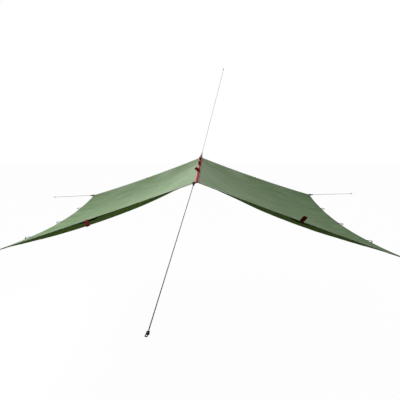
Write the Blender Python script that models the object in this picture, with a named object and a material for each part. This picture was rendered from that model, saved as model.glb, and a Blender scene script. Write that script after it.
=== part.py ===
"""A square camping tarp, pitched over its ridge as a shallow A-frame.

Two cloth panels meet at a sewn ridge seam under a webbing tape. Webbing loops stand on the
ridge, at the corners and along the edges, each over a reinforcement patch, and cords are tied
to the ridge ends and to the two far corners. Metres, +Z up. The ridge runs along Y, with the
near end at -Y, and the origin is the middle of the ridge, on the seam's axis.
"""

import math

import bpy
from mathutils import Vector

# Cloth panels
LENGTH = 3.0
HALF_WIDTH = 1.5
CLOTH = 0.0012
HEM_WIDTH = 0.020
HEM_THICK = 0.0024
HEM_TAPER = 0.004
STEP_ALONG = 0.100
STEP_ACROSS = 0.130

# How the cloth is pitched: the slope at each corner in degrees, and how far it hangs. A higher
# power lets the belly begin closer behind the end edges.
SLOPES = {
    ("left", "near"): 19.0,
    ("left", "far"): 19.6,
    ("right", "near"): 20.1,
    ("right", "far"): 18.9,
}
SIDE_BOW_IN = 0.045
SIDE_BOW_DOWN = 0.081
NEAR_EDGE_SAG = 0.006
FAR_EDGE_SAG = 0.018
BELLY = 0.097
BELLY_POWER_RIDGE = 11
BELLY_POWER_SIDE = 4

# Folds: where each starts at the ridge and ends at the side edge, as a share of the length
# from the near end, then its height and half width
FOLDS = {
    "left": (
        (0.90, 0.93, -0.007, 0.12),
        (0.66, 0.74, 0.009, 0.14),
        (0.48, 0.44, -0.009, 0.14),
        (0.30, 0.20, 0.009, 0.13),
        (0.12, 0.08, -0.006, 0.11),
    ),
    "right": (
        (0.93, 0.88, -0.007, 0.12),
        (0.70, 0.64, 0.009, 0.14),
        (0.50, 0.58, -0.009, 0.15),
        (0.27, 0.34, 0.009, 0.13),
        (0.16, 0.10, -0.006, 0.11),
    ),
}

# Ridge
SEAM_RADIUS = 0.0035
TAPE_WIDTH = 0.025
TAPE = 0.0015
TAPE_PRESS = 0.0002

# Reinforcement patches under the cloth
PATCH = 0.0008
CORNER_PATCH = 0.150
EDGE_PATCH = 0.150
EDGE_PATCH_DEPTH = 0.075
RIDGE_PATCH_START = 0.012

# Webbing loops. The ridge loops lean to the left, in degrees.
STRAP = 0.0015
STRAP_WIDTH = 0.025
LOOP_LENGTH = 0.040
LEG_LENGTH = 0.018
EYE_RADIUS = 0.006
BEND_RADIUS = 0.0015
RIDGE_LOOP_LEG = 0.028
RIDGE_LOOP_HEIGHT = 0.036
RIDGE_LOOP_LEANS = {"near": 38.0, "middle": 4.0, "far": 7.0}
LEAN_START = 0.005

# Loops halfway along the end edges: how far each is from the edge's middle towards the ridge,
# its bend up or down in degrees, and how far it leans sideways for each metre out, towards the
# ridge where it is above zero
EDGE_LOOPS = {
    ("left", "near"): (0.0, -75, 0.0),
    ("left", "far"): (0.0, -75, 0.0),
    ("right", "near"): (0.034, 60, -0.26),
    ("right", "far"): (0.0, -75, 0.0),
}

# V-shaped loops at the ridge ends. The near one's eye is drawn to the left by its cord.
END_STRAP_WIDTH = 0.015
END_LOOP_LENGTH = 0.038
END_LEG_SPREAD = 0.012
END_LEG_LENGTH = 0.024
END_BEND = 0.0012
END_EYE_RADIUS = 0.005
END_EYE_SHIFTS = {"near": -0.012, "far": 0.0}

# Cords: elevation and turn in degrees, and length from the eye to the tip
CORD = 0.004
NEAR_CORD_ELEVATION = -15.0
NEAR_CORD_TURN = 5.2
NEAR_CORD_LENGTH = 1.43
FAR_CORD_ELEVATION = 39.8
FAR_CORD_TURN = 12.5
FAR_CORD_LENGTH = 2.04
CORNER_TURN = 38.0
GUYLINE_ELEVATIONS = {"left": -6.6, "right": -3.7}
GUYLINE_LENGTHS = {"left": 0.89, "right": 0.93}
KNOT_TURNS = 2.5
KNOT_PITCH = 0.0046
BIGHT_LENGTH = 0.026
TAIL = 0.008

# Clearances between touching pieces, and between a cord and what it goes round
GAP = 0.0003
CORD_GAP = 0.0005

SIDES = {"left": -1, "right": 1}
ENDS = {"near": -1, "far": 1}
QUARTERS = {"near": 0.25, "middle": 0.5, "far": 0.75}
INNER = SEAM_RADIUS + GAP
CLOTH_TOP = CLOTH / 2
CLOTH_BOTTOM = CLOTH_TOP - CLOTH
HEM_BOTTOM = CLOTH_TOP - HEM_THICK
PATCH_TOP = HEM_BOTTOM - GAP
PATCH_BOTTOM = PATCH_TOP - PATCH
TAPE_BOTTOM_Z = SEAM_RADIUS + GAP
TAPE_TOP_Z = TAPE_BOTTOM_Z + TAPE


def clear_scene():
    for item in list(bpy.data.objects):
        bpy.data.objects.remove(item, do_unlink=True)


def material(name, colour, roughness):
    made = bpy.data.materials.new(name)
    made.use_nodes = True
    shader = made.node_tree.nodes["Principled BSDF"]
    shader.inputs["Base Color"].default_value = (*colour, 1.0)
    shader.inputs["Roughness"].default_value = roughness
    shader.inputs["Metallic"].default_value = 0.0
    return made


def new_object(name, data, finish, parent):
    item = bpy.data.objects.new(name, data)
    data.materials.append(finish)
    bpy.context.scene.collection.objects.link(item)
    if parent:
        item.parent = parent
        item.matrix_parent_inverse = parent.matrix_world.inverted()
    return item


def mesh_object(name, points, faces, finish, parent, smooth=False):
    mesh = bpy.data.meshes.new(name)
    mesh.from_pydata([tuple(p) for p in points], [], faces)
    if smooth:
        mesh.shade_smooth()
        mesh.set_sharp_from_angle(angle=math.radians(40))
    return new_object(name, mesh, finish, parent)


def pivot(name, place, parent=None):
    """An empty on a joint's axis, which the pieces that turn about it hang from."""
    empty = bpy.data.objects.new(name, None)
    empty.location = place
    bpy.context.scene.collection.objects.link(empty)
    bpy.context.view_layer.update()
    if parent:
        empty.parent = parent
        empty.matrix_parent_inverse = parent.matrix_world.inverted()
        bpy.context.view_layer.update()
    return empty


def blend(start, end, share):
    return start + (end - start) * share


def sheet_point(side, across, along):
    """A point halfway through the cloth. across runs from INNER at the seam to HALF_WIDTH at
    the side edge, and along runs from 0 at the near edge to LENGTH at the far edge."""
    share = (across - INNER) / (HALF_WIDTH - INNER)
    run = along / LENGTH
    bow = 4 * run * (1 - run)
    dip = 4 * share * (1 - share)
    slope = math.radians(blend(SLOPES[side, "near"], SLOPES[side, "far"], run))
    reach = INNER + share * (HALF_WIDTH - INNER - SIDE_BOW_IN * bow)
    hang = SIDE_BOW_DOWN * bow * share**2
    power = blend(BELLY_POWER_SIDE, BELLY_POWER_RIDGE, (1 - share) ** 5)
    hang += BELLY * dip * (1 - abs(2 * run - 1) ** power)
    hang += blend(NEAR_EDGE_SAG, FAR_EDGE_SAG, run) * dip
    rise = 0.0
    if 0 < share < 1:
        for at_ridge, at_side, height, width in FOLDS[side]:
            off = (run - blend(at_ridge, at_side, share)) * LENGTH / width
            rise += height * math.exp(-off * off) * math.sin(math.pi * share**0.6)
    rise *= min(1.0, bow / 0.3)
    return Vector(
        (
            SIDES[side] * reach * math.cos(slope),
            along - LENGTH / 2,
            rise - hang - reach * math.sin(slope),
        )
    )


def sheet_normal(side, across, along):
    reach = 0.002
    inward = sheet_point(side, across - reach, along)
    outward = sheet_point(side, across + reach, along)
    back = sheet_point(side, across, along - reach)
    ahead = sheet_point(side, across, along + reach)
    normal = (outward - inward).cross(ahead - back).normalized()
    return normal if normal.z > 0 else -normal


def stops(first, last, step):
    count = math.ceil((last - first) / step - 1e-6)
    return [blend(first, last, i / count) for i in range(count + 1)]


def grid_lines():
    """The cloth's lines across and along, closer together at the hems."""
    inside = HEM_WIDTH + HEM_TAPER
    across = stops(INNER, HALF_WIDTH - inside, STEP_ACROSS)
    across += [HALF_WIDTH - HEM_WIDTH, HALF_WIDTH]
    along = [0, HEM_WIDTH]
    along += stops(inside, LENGTH - inside, STEP_ALONG)
    along += [LENGTH - HEM_WIDTH, LENGTH]
    return across, along


def is_hem(across, along):
    edge = min(HALF_WIDTH - across, along, LENGTH - along)
    return edge < HEM_WIDTH + HEM_TAPER / 2


def grid_triangles(across, along):
    """The cloth's triangles, each as three (across, along) places, turned the same way."""
    found = []
    for a0, a1 in zip(across, across[1:]):
        for b0, b1 in zip(along, along[1:]):
            found.append(((a0, b0), (a1, b0), (a1, b1)))
            found.append(((a0, b0), (a1, b1), (a0, b1)))
    return found


def slab(name, side, polygons, places, finish, parent):
    """A closed solid between two surfaces. polygons hold keys of places, and places give the
    top and the bottom point of each key. The border gets walls."""
    keys = sorted({key for polygon in polygons for key in polygon})
    top = {key: i for i, key in enumerate(keys)}
    low = {key: i + len(keys) for i, key in enumerate(keys)}
    points = [places[key][0] for key in keys] + [places[key][1] for key in keys]
    edges = {}
    for polygon in polygons:
        for start, end in zip(polygon, polygon[1:] + polygon[:1]):
            edges[start, end] = True
    faces = [[top[key] for key in polygon] for polygon in polygons]
    faces += [[low[key] for key in reversed(polygon)] for polygon in polygons]
    for start, end in edges:
        if (end, start) not in edges:
            faces.append([top[end], top[start], low[start], low[end]])
    if SIDES[side] < 0:
        faces = [face[::-1] for face in faces]
    return mesh_object(name, points, faces, finish, parent)


def panel(side, finish, parent):
    """One cloth panel, doubled along its three hems."""
    across, along = grid_lines()
    places = {}
    for a in across:
        for b in along:
            middle = sheet_point(side, a, b)
            normal = sheet_normal(side, a, b)
            bottom = HEM_BOTTOM if is_hem(a, b) else CLOTH_BOTTOM
            places[a, b] = (middle + normal * CLOTH_TOP, middle + normal * bottom)
    polygons = [list(corners) for corners in grid_triangles(across, along)]
    return slab(f"{side}_panel", side, polygons, places, finish, parent)


def turn_of(a, b, c):
    return (b[0] - a[0]) * (c[1] - a[1]) - (b[1] - a[1]) * (c[0] - a[0])


def clipped(polygon, outline):
    """The part of a convex polygon that lies inside a convex outline."""
    for start, end in zip(outline, outline[1:] + outline[:1]):
        kept = []
        for here, after in zip(polygon, polygon[1:] + polygon[:1]):
            side_here = turn_of(start, end, here)
            side_after = turn_of(start, end, after)
            if side_here >= 0:
                kept.append(here)
            if side_here * side_after < 0:
                share = side_here / (side_here - side_after)
                kept.append(
                    (
                        blend(here[0], after[0], share),
                        blend(here[1], after[1], share),
                    )
                )
        polygon = kept
        if len(polygon) < 3:
            return []
    return polygon


def area_of(polygon):
    first = polygon[0]
    pairs = zip(polygon[1:], polygon[2:])
    return sum(turn_of(first, b, c) for b, c in pairs) / 2


def patch(name, side, outline, finish, parent):
    """A patch with the given outline, lying under the cloth's own facets."""
    least_area = 1e-9
    if area_of(outline) < 0:
        outline = outline[::-1]
    across, along = grid_lines()
    places = {}
    polygons = []
    for corners in grid_triangles(across, along):
        piece = clipped(list(corners), outline)
        if not piece or area_of(piece) < least_area:
            continue
        frames = [
            (sheet_point(side, *corner), sheet_normal(side, *corner)) for corner in corners
        ]
        polygon = []
        for spot in piece:
            key = (round(spot[0], 6), round(spot[1], 6))
            if key in polygon:
                continue
            polygon.append(key)
            whole = turn_of(*corners)
            weights = (
                turn_of(spot, corners[1], corners[2]) / whole,
                turn_of(corners[0], spot, corners[2]) / whole,
                turn_of(corners[0], corners[1], spot) / whole,
            )
            upper = Vector((0, 0, 0))
            lower = Vector((0, 0, 0))
            for weight, (middle, normal) in zip(weights, frames):
                upper += weight * (middle + normal * PATCH_TOP)
                lower += weight * (middle + normal * PATCH_BOTTOM)
            places.setdefault(key, (upper, lower))
        if len(polygon) > 2:
            polygons.append(polygon)
    return slab(name, side, polygons, places, finish, parent)


def half_round(centre, half, depth, count=6):
    """Points of a half ellipse that starts on the edge, as offsets along and inward."""
    angles = [math.pi * i / count for i in range(count + 1)]
    return [(centre - half * math.cos(a), depth * math.sin(a)) for a in angles]


def corner_outline(end):
    """A corner patch: square on the hems, with its inner corner cut off."""
    cut = CORNER_PATCH / 2
    shape = [
        (0, 0),
        (CORNER_PATCH, 0),
        (CORNER_PATCH, cut),
        (cut, CORNER_PATCH),
        (0, CORNER_PATCH),
    ]
    outline = []
    for inward, down in shape:
        along = down if end == "near" else LENGTH - down
        outline.append((HALF_WIDTH - inward, along))
    return outline


def end_outline(end, centre, half, first=None):
    """A half-round patch on the near or far edge, cut off at first on the seam's side."""
    outline = []
    for across, depth in half_round(centre, half, EDGE_PATCH_DEPTH):
        along = depth if end == "near" else LENGTH - depth
        outline.append((across if first is None else max(across, first), along))
    return outline


def side_outline(centre):
    half = EDGE_PATCH / 2
    shape = half_round(centre, half, EDGE_PATCH_DEPTH)
    return [(HALF_WIDTH - depth, along) for along, depth in shape]


def ridge_outline(end):
    """Half of a ridge end's patch, from beside the seam outward."""
    outline = [(RIDGE_PATCH_START, 0), (CORNER_PATCH, 0)]
    outline += [(CORNER_PATCH / 2, CORNER_PATCH / 2), (RIDGE_PATCH_START, CORNER_PATCH / 2)]
    if end == "far":
        outline = [(across, LENGTH - along) for across, along in outline]
    return outline


def ribbon(name, centres, across, width, finish, parent):
    """A strap swept along centres, where across holds the direction of its width at each."""
    points = []
    last = len(centres) - 1
    for i, (centre, wide) in enumerate(zip(centres, across)):
        ahead = centres[min(i + 1, last)] - centres[max(i - 1, 0)]
        thick = ahead.cross(wide).normalized()
        for w, t in ((-1, -1), (1, -1), (1, 1), (-1, 1)):
            points.append(centre + wide * (w * width / 2) + thick * (t * STRAP / 2))
    faces = [[3, 2, 1, 0]]
    for i in range(last):
        base = 4 * i
        for k in range(4):
            after = (k + 1) % 4
            faces.append([base + k, base + after, base + 4 + after, base + 4 + k])
    faces.append([4 * last, 4 * last + 1, 4 * last + 2, 4 * last + 3])
    return mesh_object(name, points, faces, finish, parent, smooth=True)


def arc(centre, radius, first, last, count):
    """Points of an arc in a plane, with the angles in degrees."""
    angles = [math.radians(blend(first, last, i / count)) for i in range(count + 1)]
    return [
        (centre[0] + radius * math.cos(a), centre[1] + radius * math.sin(a)) for a in angles
    ]


def turned(point, angle, about):
    turn = math.radians(angle)
    out = point[0] - about[0]
    up = point[1] - about[1]
    return (
        about[0] + out * math.cos(turn) - up * math.sin(turn),
        about[1] + out * math.sin(turn) + up * math.cos(turn),
    )


def eye_profile(bend):
    """A loop folded over the hem, as (outward, up) points from the cloth's top edge: a leg on
    the cloth, the eye turned up or down by bend degrees, and a leg under the patch. Also gives
    the middle of the eye's round end."""
    top = CLOTH_TOP + GAP + STRAP / 2
    low = PATCH_BOTTOM - GAP - STRAP / 2
    middle = (top + low) / 2
    half = (top - low) / 2
    inset = 0.0002
    straight = LOOP_LENGTH - EYE_RADIUS
    upper = [(inset, top)]
    lower = [(inset, low)]
    about = (inset, middle)
    if bend:
        about = (inset, low - BEND_RADIUS if bend < 0 else top + BEND_RADIUS)
        pieces = max(2, math.ceil(abs(bend) / 20))
        turns = [bend * i / pieces for i in range(1, pieces + 1)]
        upper += [turned((inset, top), turn, about) for turn in turns]
        lower += [turned((inset, low), turn, about) for turn in turns]
    flat_eye = [(inset + straight * 0.5, middle + blend(half, EYE_RADIUS, 0.7))]
    flat_eye += arc((inset + straight, middle), EYE_RADIUS, 90, -90, 8)
    flat_eye += [(inset + straight * 0.5, middle - blend(half, EYE_RADIUS, 0.7))]
    eye = [turned(point, bend, about) for point in flat_eye]
    centre = turned((inset + straight, middle), bend, about)
    legs_out = [(-LEG_LENGTH, top)]
    legs_back = [(-LEG_LENGTH, low)]
    return legs_out + upper + eye + lower[::-1] + legs_back, centre


def edge_frame(side, across, along, inward):
    """A place on the cloth's edge, and its directions outward, along the edge and up. inward
    is the direction into the cloth, as steps across and along."""
    place = sheet_point(side, across, along)
    leg = sheet_point(
        side, across + inward[0] * LEG_LENGTH, along + inward[1] * LEG_LENGTH
    )
    outward = (place - leg).normalized()
    normal = sheet_normal(
        side, across + inward[0] * LEG_LENGTH / 2, along + inward[1] * LEG_LENGTH / 2
    )
    edge = outward.cross(normal).normalized()
    return place, outward, edge, edge.cross(outward)


def edge_loop(name, frame, bend, finish, parent, lean=0.0):
    """A webbing loop over the hem, whose eye may lean along the edge. Gives the middle of its
    eye and the eye's directions."""
    place, outward, edge, up = frame
    profile, middle = eye_profile(bend)

    def spot(out, rise):
        beyond = max(0.0, math.hypot(out, rise) - LEAN_START) if out > 0 else 0.0
        return place + outward * out + up * rise + edge * (lean * beyond)

    centres = [spot(*point) for point in profile]
    ribbon(name, centres, [edge] * len(centres), STRAP_WIDTH, finish, parent)
    pull = outward * math.cos(math.radians(bend)) + up * math.sin(math.radians(bend))
    return spot(*middle), pull, edge


def bend_towards(frame, pull):
    """The frame turned about its normal so that pull lies over its outward direction, and
    the bend that then points the eye along pull."""
    place, _, _, up = frame
    edge = pull.cross(up).normalized()
    outward = up.cross(edge).normalized()
    bend = math.degrees(math.asin(max(-1.0, min(1.0, pull.dot(up)))))
    return (place, outward, edge, up), bend


def ridge_loop(name, run, leaning, finish, parent):
    """A loop that stands on the ridge tape, with a leg each way, and leans to the left. It
    turns as it rises, from level on the tape to its full lean."""
    foot = TAPE_TOP_Z + GAP + STRAP / 2
    root = 0.003
    bend = 0.003
    top = RIDGE_LOOP_HEIGHT - EYE_RADIUS
    right = [(RIDGE_LOOP_LEG, 0.0)]
    right += arc((root + bend, bend), bend, 270, 180, 3)
    right += [(blend(root, EYE_RADIUS, share), top * share) for share in (0.25, 0.4, 0.6)]
    bow = arc((0, top), EYE_RADIUS, 0, 180, 8)
    left = [(-out, rise) for out, rise in reversed(right)]
    middle = (run - 0.5) * LENGTH
    centres = []
    across = []
    for out, rise in right + bow + left:
        share = min(1.0, rise / (top * 0.8))
        lean = math.radians(leaning) * share * share * (3 - 2 * share)
        aside = rise * math.sin(lean)
        centres.append(Vector((-aside, middle + out, foot + rise * math.cos(lean))))
        across.append(Vector((math.cos(lean), 0, math.sin(lean))))
    ribbon(name, centres, across, STRAP_WIDTH, finish, parent)


def pull_direction(sign, elevation, turn, sideways):
    """A direction out of the near or far end, turned to one side and raised."""
    up = math.radians(elevation)
    aside = math.radians(turn)
    return Vector(
        (
            sideways * math.cos(up) * math.sin(aside),
            sign * math.cos(up) * math.cos(aside),
            math.sin(up),
        )
    )


def end_loop(name, end, pull, finish, parent):
    """A V-shaped loop: two legs sewn on the ridge tape that meet in one eye, so that the
    strap's halves lie over each other there. Gives the eye's middle and its directions."""
    sign = ENDS[end]
    level = Vector((1, 0, 0))
    outward = Vector((0, sign, 0))
    start = outward * (LENGTH / 2) + Vector((0, 0, TAPE_TOP_Z + GAP + STRAP / 2))
    wide = Vector((pull.y * sign, -pull.x * sign, 0)).normalized()
    up = wide.cross(pull).normalized()
    up = up if up.z > 0 else -up
    bend = start + outward * END_BEND
    eye = start + pull * (END_LOOP_LENGTH - END_EYE_RADIUS) + level * END_EYE_SHIFTS[end]

    def leg(side, layer):
        """One leg, from its sewn end to the eye, on the upper or the lower layer."""
        foot = level * (side * END_LEG_SPREAD)
        rows = [
            (start + foot - outward * END_LEG_LENGTH, level),
            (start + foot - outward * END_BEND, level),
            (start + foot, level),
            (bend + foot, level),
        ]
        for share in (0.15, 0.3, 0.5, 0.7, 0.85, 1.0):
            eased = share * share * (3 - 2 * share)
            spot = bend.lerp(eye, share) + wide * (side * END_LEG_SPREAD * (1 - eased))
            rows.append((spot + up * (layer * END_EYE_RADIUS * eased), wide))
        return rows

    round_end = [
        (eye + pull * out + up * rise, wide)
        for out, rise in arc((0, 0), END_EYE_RADIUS, 90, -90, 8)[1:-1]
    ]
    rows = leg(-1, 1) + round_end + leg(1, -1)[::-1]
    centres = [centre for centre, _ in rows]
    across = [direction for _, direction in rows]
    ribbon(name, centres, across, END_STRAP_WIDTH, finish, parent)
    return eye, pull, wide


def smooth_curve(points, spacing):
    """Evenly spaced points of a Catmull-Rom curve through the given ones."""
    dense = []
    ends = [2 * points[0] - points[1], *points, 2 * points[-1] - points[-2]]
    for p0, p1, p2, p3 in zip(ends, ends[1:], ends[2:], ends[3:]):
        for i in range(16):
            t = i / 16
            dense.append(
                0.5
                * (
                    2 * p1
                    + (p2 - p0) * t
                    + (2 * p0 - 5 * p1 + 4 * p2 - p3) * t * t
                    + (3 * p1 - p0 - 3 * p2 + p3) * t * t * t
                )
            )
    dense.append(points[-1])
    kept = [dense[0]]
    run = 0.0
    for before, here in zip(dense, dense[1:]):
        run += (here - before).length
        if run >= spacing:
            kept.append(here)
            run = 0.0
    if (kept[-1] - dense[-1]).length < spacing / 2:
        kept.pop()
    return kept + [dense[-1]]


def winding(first, last, start_angle, turns, radius):
    """Turns of the cord round its own standing part, as (out, aside, up) points."""
    count = round(turns * 8)
    points = []
    for i in range(count + 1):
        angle = math.radians(start_angle) + 2 * math.pi * turns * i / count
        out = blend(first, last, i / count)
        points.append(Vector((out, radius * math.cos(angle), radius * math.sin(angle))))
    return points


def cord_route(length, eye_radius, strap_width):
    """The cord's points as (out, aside, up) from the eye's middle: its tail, the turns of the
    knot, the bight through the eye, the standing part, and a stopper knot at the far end."""
    radius = CORD + CORD_GAP
    bar = eye_radius - STRAP / 2 - CORD_GAP - CORD / 2
    half = strap_width / 2 + CORD_GAP + CORD
    corner = CORD
    wound = KNOT_TURNS * KNOT_PITCH
    knot = bar + BIGHT_LENGTH
    spacing = 1.2 * CORD
    route = [Vector((knot + wound + TAIL, radius, 0))]
    route += winding(knot + wound, knot, 0, KNOT_TURNS, radius)
    bight = [Vector((knot, -radius, 0)), Vector((knot - radius, -radius * 1.05, 0))]
    for out, aside in arc((bar + corner, corner - half), corner, 180, 270, 3)[::-1]:
        bight.append(Vector((out, aside, 0)))
    for out, aside in arc((bar + corner, half - corner), corner, 90, 180, 3)[::-1]:
        bight.append(Vector((out, aside, 0)))
    bight += [Vector((knot - radius, radius * 0.35, 0)), Vector((knot + radius, 0, 0))]
    route += smooth_curve(bight, spacing)[1:]
    tip = length
    stop = tip - 3 * CORD
    begin = knot + wound + TAIL + CORD
    finish = stop - wound
    for i in range(7):
        route.append(Vector((blend(begin, finish - CORD, i / 6), 0, 0)))
    turn = [Vector((finish, 0, 0)), Vector((stop - CORD, 0, 0)), Vector((stop, 0.0002, 0))]
    for out, aside in arc((tip - CORD, -radius / 2), CORD, 75, -75, 4):
        turn.append(Vector((out, aside, 0)))
    turn += [Vector((stop, -radius, 0))]
    route += smooth_curve(turn, spacing)[:-1]
    route += winding(stop, finish, 180, KNOT_TURNS, radius)
    return route


def cord(name, eye, pull, wide, length, eye_radius, strap_width, finish, parent):
    up = wide.cross(pull).normalized()
    turning = pivot(f"{name}_pivot", eye, parent)
    route = cord_route(length, eye_radius, strap_width)
    curve = bpy.data.curves.new(name, "CURVE")
    curve.dimensions = "3D"
    curve.bevel_depth = CORD / 2
    curve.bevel_resolution = 1
    curve.use_fill_caps = True
    spline = curve.splines.new("POLY")
    spline.points.add(len(route) - 1)
    for target, spot in zip(spline.points, route):
        place = eye + pull * spot.x + wide * spot.y + up * spot.z
        target.co = (*place, 1.0)
    return new_object(name, curve, finish, turning)


def ridge_seam(finish):
    """The rolled seam that joins the two panels, a round bead along the ridge's axis."""
    count = 16
    points = []
    for y in (-LENGTH / 2, LENGTH / 2):
        for x, z in arc((0, 0), SEAM_RADIUS, 0, 360, count)[:-1]:
            points.append((x, y, z))
    faces = [list(range(count)), list(range(2 * count - 1, count - 1, -1))]
    for i in range(count):
        after = (i + 1) % count
        faces.append([i, i + count, after + count, after])
    mesh_object("ridge_seam", points, faces, finish, None, smooth=True)


def ridge_tape(finish):
    """The tape over the seam, pressed down a little under the sewn legs that stand on it."""
    beyond = 0.002
    pressed = [(-LENGTH / 2, -LENGTH / 2 + END_LEG_LENGTH)]
    for run in QUARTERS.values():
        middle = (run - 0.5) * LENGTH
        pressed.append((middle - RIDGE_LOOP_LEG, middle + RIDGE_LOOP_LEG))
    pressed.append((LENGTH / 2 - END_LEG_LENGTH, LENGTH / 2))
    low = (TAPE_BOTTOM_Z + TAPE_TOP_Z) / 2
    centres = []
    for first, last in pressed:
        rows = [(first - beyond, TAPE_PRESS), (first, 0.0), (last, 0.0)]
        rows.append((last + beyond, TAPE_PRESS))
        centres += [
            Vector((0, y, low + rise)) for y, rise in rows if abs(y) <= LENGTH / 2
        ]
    across = [Vector((1, 0, 0))] * len(centres)
    ribbon("ridge_tape", centres, across, TAPE_WIDTH, finish, None)


def edge_middle(side, end):
    """Where the loop of an end edge sits, across the panel."""
    return (INNER + HALF_WIDTH) / 2 - EDGE_LOOPS[side, end][0]


def wing_patches(side, finish, parent):
    for end in ENDS:
        patch(f"{side}_{end}_corner_patch", side, corner_outline(end), finish, parent)
        outline = end_outline(end, edge_middle(side, end), EDGE_PATCH / 2)
        patch(f"{side}_{end}_edge_patch", side, outline, finish, parent)
        patch(f"{side}_{end}_ridge_patch", side, ridge_outline(end), finish, parent)
    for place, run in QUARTERS.items():
        outline = side_outline(run * LENGTH)
        patch(f"{side}_{place}_side_patch", side, outline, finish, parent)


def corner_loops(side, dark, grey, parent):
    """Loops on the diagonals, with a guyline on the far one."""
    turn = math.radians(CORNER_TURN)
    for end, sign in ENDS.items():
        along = 0.0 if end == "near" else LENGTH
        inward = (-math.cos(turn), -sign * math.sin(turn))
        frame = edge_frame(side, HALF_WIDTH, along, inward)
        elevation = GUYLINE_ELEVATIONS[side]
        pull = pull_direction(sign, elevation, 90 - CORNER_TURN, SIDES[side])
        frame, bend = bend_towards(frame, pull)
        eye, pull, wide = edge_loop(f"{side}_{end}_corner_loop", frame, bend, dark, parent)
        if end == "far":
            length = GUYLINE_LENGTHS[side]
            cord(
                f"{side}_guyline",
                eye,
                pull,
                wide,
                length,
                EYE_RADIUS,
                STRAP_WIDTH,
                grey,
                parent,
            )


def side_loops(side, dark, parent):
    for place, run in QUARTERS.items():
        frame = edge_frame(side, HALF_WIDTH, run * LENGTH, (-1, 0))
        edge_loop(f"{side}_{place}_side_loop", frame, 0, dark, parent)


def end_edge_loops(side, red, parent):
    """Loops halfway along the end edges. They hang down, but the near right one stands up."""
    for end, sign in ENDS.items():
        along = 0.0 if end == "near" else LENGTH
        frame = edge_frame(side, edge_middle(side, end), along, (0, -sign))
        _, bend, lean = EDGE_LOOPS[side, end]
        edge_loop(f"{side}_{end}_edge_loop", frame, bend, red, parent, lean)


def wing(side, cloth, lining, dark, red, grey):
    hinge = pivot(f"{side}_wing_hinge", (0, 0, 0))
    panel(side, cloth, hinge)
    wing_patches(side, lining, hinge)
    corner_loops(side, dark, grey, hinge)
    side_loops(side, dark, hinge)
    end_edge_loops(side, red, hinge)


def ridge(cloth, red, grey):
    ridge_seam(cloth)
    ridge_tape(red)
    for place, run in QUARTERS.items():
        ridge_loop(f"ridge_loop_{place}", run, RIDGE_LOOP_LEANS[place], red, None)
    pulls = {
        "near": pull_direction(-1, NEAR_CORD_ELEVATION, NEAR_CORD_TURN, -1),
        "far": pull_direction(1, FAR_CORD_ELEVATION, FAR_CORD_TURN, 1),
    }
    lengths = {"near": NEAR_CORD_LENGTH, "far": FAR_CORD_LENGTH}
    for end, pull in pulls.items():
        eye, pull, wide = end_loop(f"{end}_end_loop", end, pull, red, None)
        cord(
            f"{end}_ridge_cord",
            eye,
            pull,
            wide,
            lengths[end],
            END_EYE_RADIUS,
            END_STRAP_WIDTH,
            grey,
            None,
        )


def build():
    clear_scene()
    cloth = material("cloth_green", (0.160, 0.235, 0.130), 0.62)
    lining = material("patch_dark", (0.012, 0.016, 0.011), 0.75)
    red = material("webbing_red", (0.360, 0.030, 0.035), 0.70)
    dark = material("webbing_dark", (0.018, 0.018, 0.018), 0.75)
    grey = material("cord_grey", (0.050, 0.050, 0.052), 0.80)
    ridge(cloth, red, grey)
    for side in SIDES:
        wing(side, cloth, lining, dark, red, grey)


build()
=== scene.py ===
import math

import bpy
from mathutils import Matrix, Vector


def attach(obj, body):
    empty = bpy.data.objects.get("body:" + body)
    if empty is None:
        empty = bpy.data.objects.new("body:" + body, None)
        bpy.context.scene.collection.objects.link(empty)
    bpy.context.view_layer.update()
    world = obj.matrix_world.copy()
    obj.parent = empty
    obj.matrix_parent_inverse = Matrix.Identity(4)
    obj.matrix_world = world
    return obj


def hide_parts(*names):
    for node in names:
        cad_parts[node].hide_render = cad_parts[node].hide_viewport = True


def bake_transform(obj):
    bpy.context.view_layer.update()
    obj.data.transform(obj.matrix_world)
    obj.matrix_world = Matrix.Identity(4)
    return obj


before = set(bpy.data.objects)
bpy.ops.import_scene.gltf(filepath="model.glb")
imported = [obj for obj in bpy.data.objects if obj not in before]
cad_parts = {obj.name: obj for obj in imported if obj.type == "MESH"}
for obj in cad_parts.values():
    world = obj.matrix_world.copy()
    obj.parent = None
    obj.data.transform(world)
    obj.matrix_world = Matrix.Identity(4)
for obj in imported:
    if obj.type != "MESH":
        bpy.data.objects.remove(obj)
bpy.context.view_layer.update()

# The view: the camera stands in front of the near end of the ridge, about 30 cm above it, and
# looks slightly down. The light is one large soft lamp hung above the left panel, with a pale
# room round it, as in a studio with a white background.
CAMERA_PLACE = Vector((0.0549, -4.3227, 0.3033))
CAMERA_YAW, CAMERA_PITCH, CAMERA_ROLL = (math.radians(a) for a in (-0.672, 8.449, 0.098))
CAMERA_LENS = 40.172
FLOOR_HEIGHT = -1.95
FLOOR_SIZE = 60.0
FLOOR_SHADE = (0.05, 0.05, 0.05)
FLOOR_GLOW = 0.98
LAMP_PLACE = Vector((-1.45, -0.7, 2.4))
LAMP_TARGET = Vector((0.0, 0.0, -0.3))
LAMP_POWER = 90.0
LAMP_SIZE = 2.0
ROOM_STRENGTH = 0.10


def step(tree, kind, inputs=None, **settings):
    """One node of a tree, with its settings, and its inputs set to values or linked."""
    node = tree.nodes.new(kind)
    for name, value in settings.items():
        setattr(node, name, value)
    for key, value in (inputs or {}).items():
        if isinstance(value, bpy.types.NodeSocket):
            tree.links.new(value, node.inputs[key])
        else:
            node.inputs[key].default_value = value
    return node


def sum_of(tree, operation, *values, clamp=False):
    """One sum of a tree's numbers, as the socket that holds the result."""
    node = step(tree, "ShaderNodeMath", dict(enumerate(values)), operation=operation)
    node.use_clamp = clamp
    return node.outputs[0]


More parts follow.
